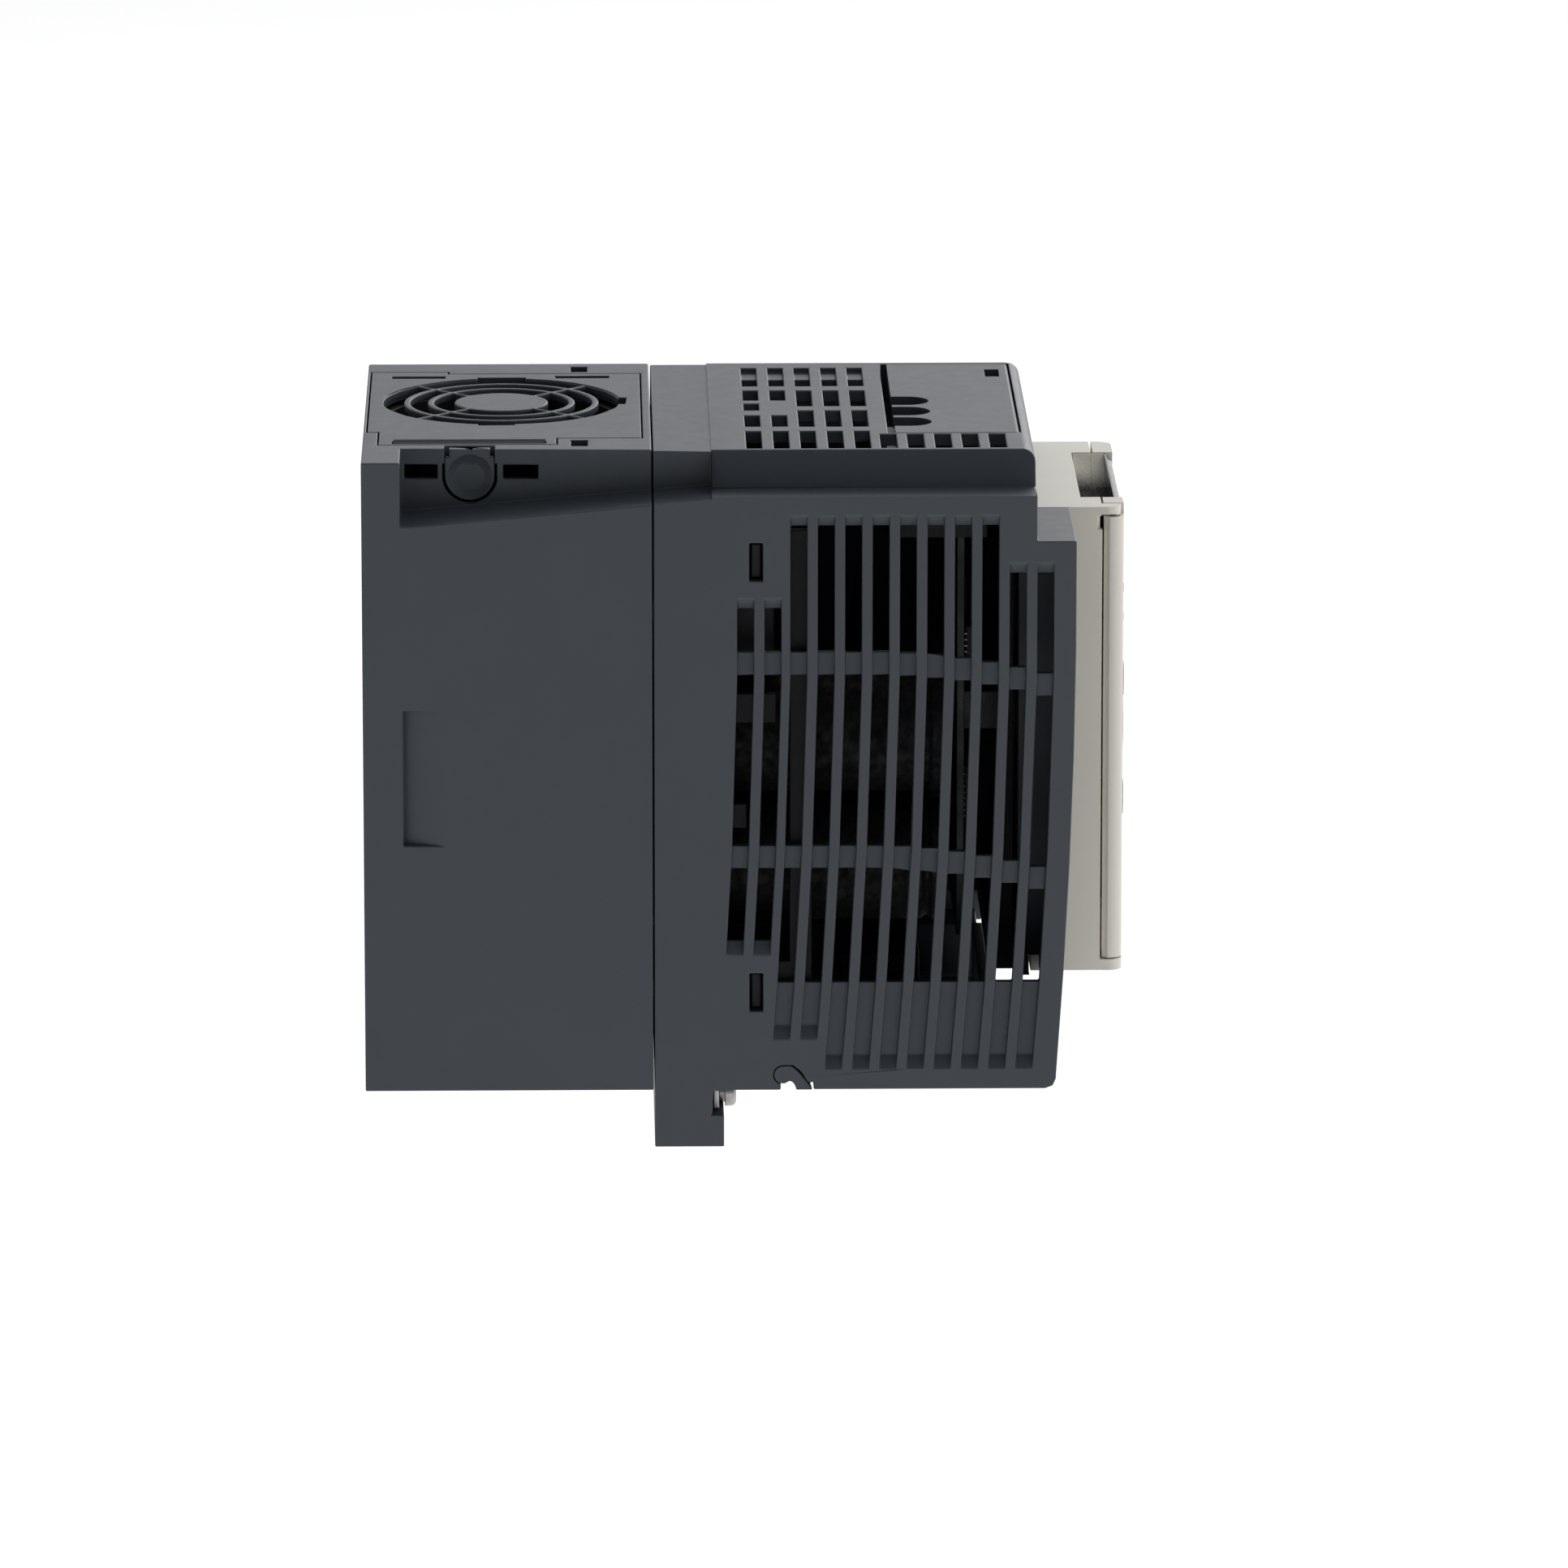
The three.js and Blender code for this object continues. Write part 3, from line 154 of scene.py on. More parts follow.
class Nodes:
    """The node tree of one material while it is being wired."""

    def __init__(self, name: str) -> None:
        """Starts a material that holds only a principled shader and its output."""
        self.material = bpy.data.materials.new(name)
        self.material.use_nodes = True
        self.tree = self.material.node_tree
        self.shader = next(n for n in self.tree.nodes if n.type == "BSDF_PRINCIPLED")
        self.place = self.add("ShaderNodeTexCoord").outputs["Object"]

    def add(self, kind: str, links: dict | None = None, **settings: object) -> bpy.types.Node:
        """Adds a node with its settings and links.

        Args:
            kind: the node's class name.
            links: input name or index to an output socket or a plain value.
            settings: attributes of the node.

        Returns:
            The new node.
        """
        node = self.tree.nodes.new(kind)
        for key, value in settings.items():
            setattr(node, key, value)
        for key, value in (links or {}).items():
            if isinstance(value, bpy.types.NodeSocket):
                self.tree.links.new(value, node.inputs[key])
            else:
                node.inputs[key].default_value = value
        return node

    def feed(self, socket: str, value: object) -> None:
        """Links an output to a shader socket, or sets the socket to a plain value."""
        if isinstance(value, bpy.types.NodeSocket):
            self.tree.links.new(value, self.shader.inputs[socket])
        else:
            self.shader.inputs[socket].default_value = value

    def noise(self, size_mm: float, detail: float = 2.0, roughness: float = 0.5) -> bpy.types.NodeSocket:
        """Gives noise whose blotches are about size_mm across."""
        scale = 1.0 / (size_mm * MM)
        links = {"Vector": self.place, "Scale": scale, "Detail": detail, "Roughness": roughness}
        return self.add("ShaderNodeTexNoise", links).outputs["Fac"]

    def spread(self, value: bpy.types.NodeSocket, low: float, high: float) -> bpy.types.NodeSocket:
        """Maps the usual range of noise, 0.3 to 0.7, to low and high."""
        links = {"Value": value, "From Min": 0.3, "From Max": 0.7, "To Min": low, "To Max": high}
        return self.add("ShaderNodeMapRange", links).outputs["Result"]

    def mix(self, factor: bpy.types.NodeSocket, first: object, second: object) -> bpy.types.NodeSocket:
        """Mixes two colours by a factor."""
        links = {0: factor, 6: first, 7: second}
        return self.add("ShaderNodeMix", links, data_type="RGBA").outputs[2]

    def bump(self, height: bpy.types.NodeSocket, strength: float, depth_mm: float,
             under: bpy.types.NodeSocket | None = None) -> bpy.types.NodeSocket:
        """Adds a bump of a real depth, on top of another one if that is given."""
        links = {"Height": height, "Strength": strength, "Distance": depth_mm * MM}
        if under is not None:
            links["Normal"] = under
        return self.add("ShaderNodeBump", links).outputs["Normal"]


@dataclass(frozen=True)
class MouldedPlastic:
    """Injection-moulded ABS or polycarbonate with a spark-eroded grain.

    The grain breaks up the highlights into a soft, even sheen, and thick and thin walls cool a
    little differently, which the eye sees as a faint cloudiness.
    """

    name: str
    colour: str
    slot: str
    roughness: float = 0.5
    grain_mm: float = 0.35
    grain_depth_mm: float = 0.007
    cloud: float = 0.03
    ior: float = 1.5

    def make(self) -> bpy.types.Material:
        """Builds the material."""
        nodes = Nodes(self.name)
        base = linear(self.colour)
        pale = tuple(v * (1 + self.cloud) for v in base[:3]) + (1.0,)
        deep = tuple(v * (1 - self.cloud) for v in base[:3]) + (1.0,)
        clouds = nodes.spread(nodes.noise(24.0, 3.0), 0.0, 1.0)
        grain = nodes.noise(self.grain_mm, 3.0, 0.6)
        nodes.feed("Base Color", nodes.mix(clouds, deep, pale))
        rough = nodes.spread(nodes.noise(3.2, 4.0), self.roughness - 0.02, self.roughness + 0.02)
        nodes.feed("Roughness", rough)
        nodes.feed("IOR", self.ior)
        nodes.feed("Normal", nodes.bump(grain, 0.5, self.grain_depth_mm))
        return nodes.material


@dataclass(frozen=True)
class PolishedPlastic:
    """Acrylic or polished ABS: a hard gloss with hair-fine wiping marks and a little dust."""

    name: str
    colour: str
    slot: str
    roughness: float = 0.12
    transmission: float = 0.0

    def make(self) -> bpy.types.Material:
        """Builds the material."""
        nodes = Nodes(self.name)
        smears = nodes.spread(nodes.noise(9.0, 5.0, 0.65), 0.0, 1.0)
        base = linear(self.colour)
        dusty = tuple(v + 0.006 for v in base[:3]) + (1.0,)
        nodes.feed("Base Color", nodes.mix(smears, base, dusty))
        nodes.feed("Roughness", nodes.spread(nodes.noise(2.0, 5.0), self.roughness * 0.7, self.roughness * 1.5))
        nodes.feed("IOR", 1.49)
        nodes.feed("Transmission Weight", self.transmission)
        nodes.feed("Normal", nodes.bump(nodes.noise(14.0, 1.0), 0.15, 0.05))
        return nodes.material


@dataclass(frozen=True)
class PlatedSteel:
    """Zinc-plated steel: a grey, slightly milky metal with drawing marks along its length."""

    name: str
    colour: str
    slot: str
    roughness: float = 0.36
    mark_mm: float = 0.25

    def make(self) -> bpy.types.Material:
        """Builds the material."""
        nodes = Nodes(self.name)
        base = linear(self.colour)
        dull = tuple(v * 0.78 for v in base[:3]) + (1.0,)
        bloom = nodes.spread(nodes.noise(2.6, 4.0, 0.6), 0.0, 1.0)
        nodes.feed("Base Color", nodes.mix(bloom, base, dull))
        nodes.feed("Metallic", 1.0)
        nodes.feed("Roughness", nodes.spread(nodes.noise(0.8, 4.0), self.roughness - 0.08, self.roughness + 0.1))
        nodes.feed("Normal", nodes.bump(nodes.noise(self.mark_mm, 4.0, 0.6), 0.35, 0.01))
        return nodes.material


@dataclass(frozen=True)
class ExtrudedAluminium:
    """Plain extruded aluminium: die lines run along the extrusion, which is upright here."""

    name: str
    colour: str
    slot: str
    line_mm: float = 0.6

    def make(self) -> bpy.types.Material:
        """Builds the material."""
        nodes = Nodes(self.name)
        stretch = nodes.add("ShaderNodeMapping", {"Vector": nodes.place, "Scale": (1.0, 1.0, 0.02)})
        links = {"Vector": stretch.outputs[0], "Scale": 1 / (self.line_mm * MM), "Detail": 4.0}
        lines = nodes.add("ShaderNodeTexNoise", links).outputs["Fac"]
        nodes.feed("Base Color", linear(self.colour))
        nodes.feed("Metallic", 1.0)
        nodes.feed("Roughness", nodes.spread(lines, 0.3, 0.5))
        nodes.feed("Normal", nodes.bump(lines, 0.5, 0.02))
        return nodes.material


@dataclass(frozen=True)
class SolderMask:
    """Glass-epoxy laminate under solder mask: a gloss skin over tracks and a faint weave."""

    name: str
    colour: str
    slot: str
    track_mm: float = 1.3

    def make(self) -> bpy.types.Material:
        """Builds the material."""
        nodes = Nodes(self.name)
        links = {"Vector": nodes.place, "Scale": 1 / (self.track_mm * MM), "Mortar Size": 0.012}
        links |= {"Brick Width": 2.4, "Row Height": 0.6}
        tracks = nodes.add("ShaderNodeTexBrick", links, offset=0.5).outputs["Fac"]
        base = linear(self.colour)
        copper = tuple(v * 1.8 for v in base[:3]) + (1.0,)
        nodes.feed("Base Color", nodes.mix(tracks, base, copper))
        nodes.feed("Roughness", nodes.spread(nodes.noise(4.0, 3.0), 0.25, 0.4))
        nodes.feed("IOR", 1.53)
        nodes.feed("Normal", nodes.bump(tracks, 0.6, 0.03))
        return nodes.material


@dataclass(frozen=True)
class PaintedShadeTrough:
    """A trough whose colour is painted shade: black at its near end, fading to the lit warm grey of its far end.
    """

    name: str
    dark: str
    pale: str
    slot: str
    start: float
    end: float

    def make(self) -> bpy.types.Material:
        """Builds the material."""
        nodes = Nodes(self.name)
        # Painted shade: along object x the colour ramps from black at the near end to the lit pale grey at the far
        # end, broken up by speckle noise.
        split = nodes.add("ShaderNodeSeparateXYZ", {"Vector": nodes.place})
        low, high = at(self.start, 0, 0).x, at(self.end, 0, 0).x
        links = {"Value": split.outputs["X"], "From Min": low, "From Max": high}
        shade_ramp = nodes.add("ShaderNodeMapRange", links, interpolation_type="SMOOTHSTEP").outputs["Result"]
        ramp_speckle = nodes.spread(nodes.noise(0.5, 3.0), -0.12, 0.12)
        grainy = nodes.add("ShaderNodeMath", {0: shade_ramp, 1: ramp_speckle}, operation="ADD", use_clamp=True).outputs[0]
        nodes.feed("Base Color", nodes.mix(grainy, linear(self.dark), linear(self.pale)))
        nodes.feed("Roughness", nodes.spread(nodes.noise(1.5, 3.0), 0.5, 0.62))
        nodes.feed("Specular IOR Level", 0.1)
        nodes.feed("Normal", nodes.bump(nodes.noise(0.4, 3.0), 0.4, 0.01))
        return nodes.material


DARK_ABS = MouldedPlastic("dark_abs_spark_eroded", "#3f464e", "dark_plastic", 0.46)
PALE_ABS = MouldedPlastic("pale_abs_spark_eroded", "#f1ede0", "pale_plastic", 0.5, 0.4, 0.012, 0.012)
FRAME_ABS = MouldedPlastic("slate_abs_matt", "#15171a", "black_plastic", 0.7, 0.5, 0.01)
BLACK_PBT = MouldedPlastic("black_glass_filled_pbt", "#17181a", "black_plastic", 0.5, 0.5, 0.02)
GREY_ABS = MouldedPlastic("grey_abs_satin", "#5d6165", "grey_plastic", 0.42)
GREEN_ABS = MouldedPlastic("green_abs_satin", "#2f7a50", "green_plastic", 0.42)
RED_ABS = MouldedPlastic("red_abs_satin", "#9f2c24", "red_plastic", 0.42)
SMOKED_ACRYLIC = PolishedPlastic("smoked_acrylic_polished", "#0b0c0e", "smoked_gloss")
# The finger trough's black-to-pale ramp is painted shade of a deep recess.
TROUGH_PAINTED_SHADE = PaintedShadeTrough("trough_shade_painted", "#050506", "#efebdf", "smoked_gloss", 79.5, 88.0)
ZINC_STEEL = PlatedSteel("zinc_plated_steel", "#b9b9b6", "steel")
FIN_ALUMINIUM = ExtrudedAluminium("extruded_aluminium", "#c3c6ca", "aluminium")
COPPER_WIRE = PlatedSteel("enamelled_copper_wire", "#a4552c", "steel", 0.3, 0.6)
BOARD = SolderMask("solder_mask_green", "#12301f", "circuit_board")
PVC_SLEEVE = PolishedPlastic("shrunk_pvc_sleeve", "#0b0806", "capacitor_sleeve", 0.7)
GREEN_PBT = MouldedPlastic("green_pbt_terminal", "#2c6b48", "green_plastic", 0.45)

MADE: dict[str, bpy.types.Material] = {}


def paint(finish: object) -> bpy.types.Material:
    """Gives the material of a finish, built once."""
    if finish.name not in MADE:
        MADE[finish.name] = finish.make()
    return MADE[finish.name]


# ------------------------------------------------------------------ modelling


class Model:
    """One mesh that is shaped with operators, as by hand."""

    def __init__(self, obj: bpy.types.Object, name: str) -> None:
        """Takes over an object and names it."""
        self.obj = obj
        obj.name = name
        obj.data.name = name

    # ---- starts

    @classmethod
    def block(cls, name: str, x: tuple, d: tuple, z: tuple) -> "Model":
        """Adds a cube primitive at its size and place.

        Args:
            name: the piece's name.
            x: both ends across the drive.
            d: both ends in depth.
            z: both ends in height.

        Returns:
            The new model.
        """
        centre = at(sum(x) / 2, sum(d) / 2, sum(z) / 2)
        size = ((x[1] - x[0]) * MM, (d[1] - d[0]) * MM, (z[1] - z[0]) * MM)
        deselect()
        bpy.ops.mesh.primitive_cube_add(size=1, location=centre, scale=size)
        return cls(bpy.context.object, name).settle()

    @classmethod
    def rod(cls, name: str, centre: tuple, radius: float, length: float, axis: Axis, sides: int = 48) -> "Model":
        """Adds a cylinder primitive at its size and place, turned along an axis."""
        deselect()
        bpy.ops.mesh.primitive_cylinder_add(
            vertices=sides, radius=radius * MM, depth=length * MM, location=at(*centre), rotation=axis.value
        )
        return cls(bpy.context.object, name).settle()

    @classmethod
    def ball(cls, name: str, centre: tuple, radius: float, segments: int, rings: int) -> "Model":
        """Adds a sphere primitive, as the cutter of a dish."""
        deselect()
        bpy.ops.mesh.primitive_uv_sphere_add(
            segments=segments, ring_count=rings, radius=radius * MM, location=at(*centre)
        )
        return cls(bpy.context.object, name).settle()

    @classmethod
    def spun(cls, name: str, centre: tuple, profile: Iterable[tuple], axis: Axis, steps: int = 64) -> "Model":
        """Spins an open profile of (radius, height) points about an axis through centre.

        Args:
            name: the piece's name.
            centre: the place on the bench that height 0 of the profile stands at.
            profile: points from the axis to the axis, or closed on itself.
            axis: the direction of the profile's height.
            steps: segments of a full turn.

        Returns:
            The new model, closed, with its faces outward.
        """
        points = [Vector((radius * MM, 0.0, height * MM)) for radius, height in profile]
        deselect()
        bpy.ops.mesh.primitive_plane_add(size=MM, location=(0, 0, 0))
        obj = bpy.context.object
        model = cls(obj, name)
        model.edit()
        bpy.ops.mesh.select_mode(type="VERT")
        bpy.ops.mesh.select_all(action="SELECT")
        bpy.ops.mesh.merge(type="CENTER")
        bpy.ops.transform.translate(value=points[0])
        for before, after in zip(points, points[1:]):
            bpy.ops.mesh.extrude_vertices_move(TRANSFORM_OT_translate={"value": after - before})
        bpy.ops.mesh.select_all(action="SELECT")
        bpy.ops.mesh.spin(steps=steps, angle=math.tau, center=(0, 0, 0), axis=(0, 0, 1))
        bpy.ops.mesh.select_all(action="SELECT")
        bpy.ops.mesh.remove_doubles(threshold=1e-6)
        bpy.ops.mesh.normals_make_consistent(inside=False)
        model.leave()
        obj.rotation_euler = axis.value
        obj.location = at(*centre)
        return model.settle()

    @classmethod
    def copy_of(cls, node: str, name: str) -> "Model":
        """Copies a CAD node's mesh, merges its loose triangles and joins its flat faces."""
        obj = bpy.data.objects.new(name, frame["nodes"][node].data.copy())
        obj.data.materials.clear()
        bpy.context.scene.collection.objects.link(obj)
        model = cls(obj, name)
        model.edit()
        bpy.ops.mesh.select_all(action="SELECT")
        bpy.ops.mesh.remove_doubles(threshold=2e-6)
        bpy.ops.mesh.dissolve_limited(angle_limit=math.radians(0.5))
        model.leave()
        return model

    # ---- edit mode

    def edit(self) -> None:
        """Enters edit mode on this mesh alone."""
        deselect()
        self.obj.select_set(True)
        bpy.context.view_layer.objects.active = self.obj
        bpy.ops.object.mode_set(mode="EDIT")

    @staticmethod
    def leave() -> None:
        """Goes back to object mode."""
        bpy.ops.object.mode_set(mode="OBJECT")

    # ---- object mode

    def settle(self) -> "Model":
        """Puts the object at the origin, unturned, with its place in its mesh."""
        deselect()
        self.obj.select_set(True)
        bpy.context.view_layer.objects.active = self.obj
        bpy.ops.object.transform_apply(location=True, rotation=True, scale=True)
        return self

    def modify(self, kind: str, **settings: object) -> "Model":
        """Adds a modifier with its settings and applies it."""
        deselect()
        self.obj.select_set(True)
        bpy.context.view_layer.objects.active = self.obj
        modifier = self.obj.modifiers.new(kind.lower(), kind)
        for key, value in settings.items():
            setattr(modifier, key, value)
        bpy.ops.object.modifier_apply(modifier=modifier.name)
        return self

    def soften(self, width: float, segments: int = 2, angle: float = 30.0) -> "Model":
        """Rounds the sharp edges that have room for a small radius.

        Args:
            width: the radius, in millimetres.
            segments: faces across the radius.
            angle: edges flatter than this, in degrees, are left alone.

        Returns:
            This model.
        """
        limit = math.radians(angle)
        room = 2.2 * width * MM
        self.edit()
        bpy.ops.mesh.select_mode(type="EDGE")
        bpy.ops.mesh.select_all(action="DESELECT")
        mesh = bmesh.from_edit_mesh(self.obj.data)
        sharp = [e for e in mesh.edges if len(e.link_faces) == 2 and e.calc_face_angle() > limit]
        crowded = {v for e in sharp if e.calc_length() < room for v in e.verts}
        for edge in sharp:
            deep = min(face.calc_area() for face in edge.link_faces) / max(edge.calc_length(), 1e-9)
            edge.select_set(deep > room and not crowded.intersection(edge.verts))
        bmesh.update_edit_mesh(self.obj.data)
        bpy.ops.mesh.bevel(offset=width * MM, segments=segments, affect="EDGES", clamp_overlap=False)
        self.leave()
        return self

    def carve(self, *tools: "Model") -> "Model":
        """Cuts other models out of this one and removes them."""
        return self.combine("DIFFERENCE", tools)

    def weld(self, *others: "Model") -> "Model":
        """Joins other models to this one as one skin and removes them."""
        return self.combine("UNION", others)

    def combine(self, operation: str, others: Iterable["Model"]) -> "Model":
        """Runs one boolean with each of the other models."""
        for other in others:
            self.modify("BOOLEAN", operation=operation, object=other.obj, solver="EXACT")
            bpy.data.objects.remove(other.obj)
        return self

    def gather(self, others: Iterable["Model"]) -> "Model":
        """Joins other models to this one as separate shells of one piece."""
        deselect()
        for model in others:
            model.obj.select_set(True)
        self.obj.select_set(True)
        bpy.context.view_layer.objects.active = self.obj
        bpy.ops.object.join()
        return self

    def duplicate(self, name: str, shift: Vector) -> "Model":
        """Copies the model with a mesh of its own, moved by a shift in metres."""
        obj = self.obj.copy()
        obj.data = self.obj.data.copy()
        bpy.context.scene.collection.objects.link(obj)
        obj.location = shift
        return Model(obj, name).settle()

    def finish(self, look: object, body: str, *stands_for: str, angle: float = 32.0) -> bpy.types.Object:
        """Dresses the piece, lets it ride on a body and hides the CAD nodes that it stands for.

        Args:
            look: the finish.
            body: the CAD body that it moves with.
            stands_for: names of the CAD nodes that it replaces.
            angle: edges flatter than this, in degrees, are shaded smooth.

        Returns:
            The finished object.
        """
        deselect()
        self.obj.select_set(True)
        bpy.context.view_layer.objects.active = self.obj
        bpy.ops.object.shade_smooth_by_angle(angle=math.radians(angle))
        self.modify("WEIGHTED_NORMAL", keep_sharp=True, weight=60)
        self.obj.data.materials.clear()
        self.obj.data.materials.append(paint(look))
        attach(self.obj, body)
        if stands_for:
            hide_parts(*stands_for)
        LOG.info("%s: %d faces, rides on %s", self.obj.name, len(self.obj.data.polygons), body)
        return self.obj


def deselect() -> None:
    """Deselects every object."""
    bpy.ops.object.select_all(action="DESELECT")


def body_of(node: str) -> str:
    """The body that a CAD node rides on."""
    return frame["nodes"][node]["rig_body"]


def refine(node: str, look: object, width: float, name: str | None = None) -> bpy.types.Object:
    """Stands a softened copy in for a CAD node.

    Args:
        node: the CAD node.
        look: the finish.
        width: the radius of its edges, in millimetres.
        name: the new piece's name, or None for the node's name with _skin.

    Returns:
        The finished object.
    """
    model = Model.copy_of(node, name or f"{node}_skin")
    return model.soften(width).finish(look, body_of(node), node)


# ------------------------------------------------------------------ casing


@dataclass
class Casing:
    """The dark shells: rear housing, front housing and both terminal covers."""

    edge: float = 0.28
    way: tuple[float, float] = (13.0, 17.9)
    flap_axis: tuple[float, float] = (133.2, 141.8)
    ledge_drop: float = 2.4
    ledge_reach: float = 30.0

    def build(self) -> None:
        """Builds every shell."""
        self.rear()
        self.front()
        self.flap()
        refine("motor_terminal_cover", DARK_ABS, 0.25)
        refine("chassis_frame", FRAME_ABS, 0.2)
        refine("heatsink", FIN_ALUMINIUM, 0.12)

    def rear(self) -> None:
        """The rear shell: the latch's way through the pocket wall is open at the top."""
        tab, top = Extent.of("fan_latch"), Extent.of("rear_housing").z1
        model = Model.copy_of("rear_housing", "rear_housing_skin")
        model.carve(Model.block("way", self.way, (tab.d0 - 0.15, tab.d1 + 0.15), (tab.z0 + 5, top + 1)))
        model.soften(self.edge).finish(DARK_ABS, body_of("rear_housing"), "rear_housing")

    def front(self) -> None:
        """The front shell, with a ledge under the roof that the flap's free edge lies over."""
        flap = Extent.of("line_terminal_cover")
        model = Model.copy_of("front_housing", "front_housing_skin")
        under = flap.z0 - self.ledge_drop
        across, rear = (flap.x0 + 1, flap.x0 + self.ledge_reach), flap.d0 - 2.8
        ledge = Model.block("ledge", across, (rear, flap.d0 + 1.2), (under - 1.8, under))
        ledge.weld(Model.block("root", across, (rear, flap.d0 - 1.7), (under - 1, under + 3.2)))
        model.weld(ledge)
        model.soften(self.edge).finish(DARK_ABS, body_of("front_housing"), "front_housing")

    def flap(self) -> None:
        """The line terminal cover: its hinge edge is squared off as far as its swing allows."""
        flap = Extent.of("line_terminal_cover")
        d, z = self.flap_axis
        model = Model.copy_of("line_terminal_cover", "line_terminal_cover_skin")
        middle, wide = (flap.x0 + flap.x1) / 2, flap.x1 - flap.x0
        model.weld(Model.rod("edge", (middle, d + 0.4, z + 0.4), 0.8, wide, Axis.X, 48))
        model.weld(Model.block("top", (flap.x0, flap.x1), (d - 0.6, d + 0.4), (z, z + 1.2)))
        model.soften(0.12).finish(DARK_ABS, body_of("line_terminal_cover"), "line_terminal_cover")


# ------------------------------------------------------------------ fan module


@dataclass
class FanModule:
    """The snap-out cover with its grille, the latch, and the 50 mm axial fan."""

    opening: float = 24.6
    rings: tuple[float, ...] = (14.6, 19.5)
    ring_width: float = 1.3
    ring_height: float = 1.7
    spoke_width: float = 0.85
    hub: float = 9.7
    blades: int = 7
    dish_radius: float = 9.6
    dish_depth: float = 1.25
    tab_stand: float = 0.85
    tab_half: float = 4.97
    tab_centre: tuple[float, float] = (21.9, 137.4)
    voxel: float = 0.2
    notches: tuple[tuple[float, float, float, float], ...] = (
        (88.4, 91.0, 23.0, 33.0), (38.0, 40.6, 23.5, 31.0), (60.9, 68.1, 52.0, 55.0),
    )
    area: Extent = field(default_factory=lambda: Extent.of("fan_rotor"))

    @property
    def axis(self) -> tuple[float, float]:
        """The fan's axis on the bench, as x and d."""
        return self.area.centre[0], self.area.centre[1]

    def build(self) -> None:
        """Builds every piece of the module."""
        self.cover()
        self.grille()
        self.latch()
        self.frame()
        self.rotor()

    def cover(self) -> None:
        """Opens the round hole in a copy of the CAD cover; the grille is a piece of its own."""
        x, d = self.axis
        top = Extent.of("fan_cover").z1
        plate = Model.copy_of("fan_cover", "fan_cover_plate")
        hole = Model.rod("hole", (x, d, top), self.opening, 8, Axis.Z, 96)
        groove = Model.rod("groove", (22.0, 21.8, top + 2.6), 3.6, 31.0, Axis.DEPTH, 64)
        plate.carve(hole, groove.soften(1.8, 4)).soften(0.2)
        plate.finish(DARK_ABS, "fan_module", "fan_cover")

    def grille(self) -> None:
        """Joins rings, spokes and hub, and lets them flow together as one moulding does."""
        x, d = self.axis
        high = Extent.of("fan_cover").z1 - 0.15
        low = high - self.ring_height
        grille = Model.rod("fan_grille", (x, d, (high + low) / 2), self.hub, self.ring_height, Axis.Z, 64)
        for radius in (*self.rings, self.opening + 0.45):
            grille.weld(self.ring(radius, low, high))
        for eighth in (1, 3):
            grille.weld(self.spoke(math.pi * eighth / 4, low, high))
        for x0, x1, d0, d1 in self.notches:
            grille.carve(Model.block("notch", (x0, x1), (d0, d1), (low - 1, high + 1)))
        grille.modify("REMESH", mode="VOXEL", voxel_size=self.voxel * MM)
        grille.modify("SMOOTH", factor=0.5, iterations=7)
        grille.modify("DECIMATE", ratio=0.45)
        grille.finish(DARK_ABS, "fan_module", angle=60.0)

    def ring(self, radius: float, low: float, high: float) -> Model:
        """One ring of the grille."""
        half = self.ring_width / 2
        x, d = self.axis
        height = high - low
        corners = [(radius - half, 0), (radius + half, 0), (radius + half, height), (radius - half, height)]
        return Model.spun("ring", (x, d, low), [*corners, corners[0]], Axis.Z, 96)

    def spoke(self, angle: float, low: float, high: float) -> Model:
        """One straight bar across the whole opening."""
        x, d = self.axis
        reach = self.opening + 0.4
        half = self.spoke_width / 2
        bar = Model.block("spoke", (x - reach, x + reach), (d - half, d + half), (low, high))
        bar.edit()
        bpy.ops.mesh.select_all(action="SELECT")
        bpy.ops.transform.rotate(value=angle, orient_axis="Z", center_override=at(x, d, low))
        bar.leave()
        return bar

    def latch(self) -> None:
        """The thumb tab: a dish, a slot at each side of its top and a small arrow between them."""
        tab = Extent.of("fan_latch")
        face, middle, radius = tab.x0 - self.tab_stand, self.tab_centre[0], self.dish_radius
        round_z, top = self.tab_centre[1], Extent.of("fan_cover").z1 - 0.1
        thick = (face, tab.x0 + 1.2)
        middle_of_tab = (sum(thick) / 2, middle, round_z)
        model = Model.rod("fan_latch_tab", middle_of_tab, self.tab_half, thick[1] - face, Axis.X, 96)
        sides = (middle - self.tab_half, middle + self.tab_half)
        model.weld(Model.block("upper", thick, sides, (round_z, top)))
        model.carve(Model.ball("dish", (face - radius + self.dish_depth, middle, round_z - 0.2), radius, 96, 64))
        for low, high in ((sides[0] - 1, sides[0] + 0.8), (sides[1] - 0.8, sides[1] + 1)):
            model.carve(Model.block("slot", (face - 1, thick[1] + 1), (low, high), (top - 1.7, top + 1)))
        model.carve(Model.rod("arrow", (face + 0.9, middle, top), 1.1, 0.9, Axis.Z, 3))
        model.soften(0.2).weld(Model.copy_of("fan_latch", "core"))
        model.finish(DARK_ABS, "fan_latch", "fan_latch")

    def frame(self) -> None:
        """The square fan frame, with its corner screw holes."""
        box = Extent.of("fan_frame")
        model = Model.copy_of("fan_frame", "fan_frame_shell")
        inset = 4.0
        for x in (box.x0 + inset, box.x1 - inset):
            for d in (box.d0 + inset, box.d1 - inset):
                model.carve(Model.rod("hole", (x, d, box.z1), 1.9, 60, Axis.Z, 24))
        model.soften(0.25).finish(BLACK_PBT, "fan_module", "fan_frame")

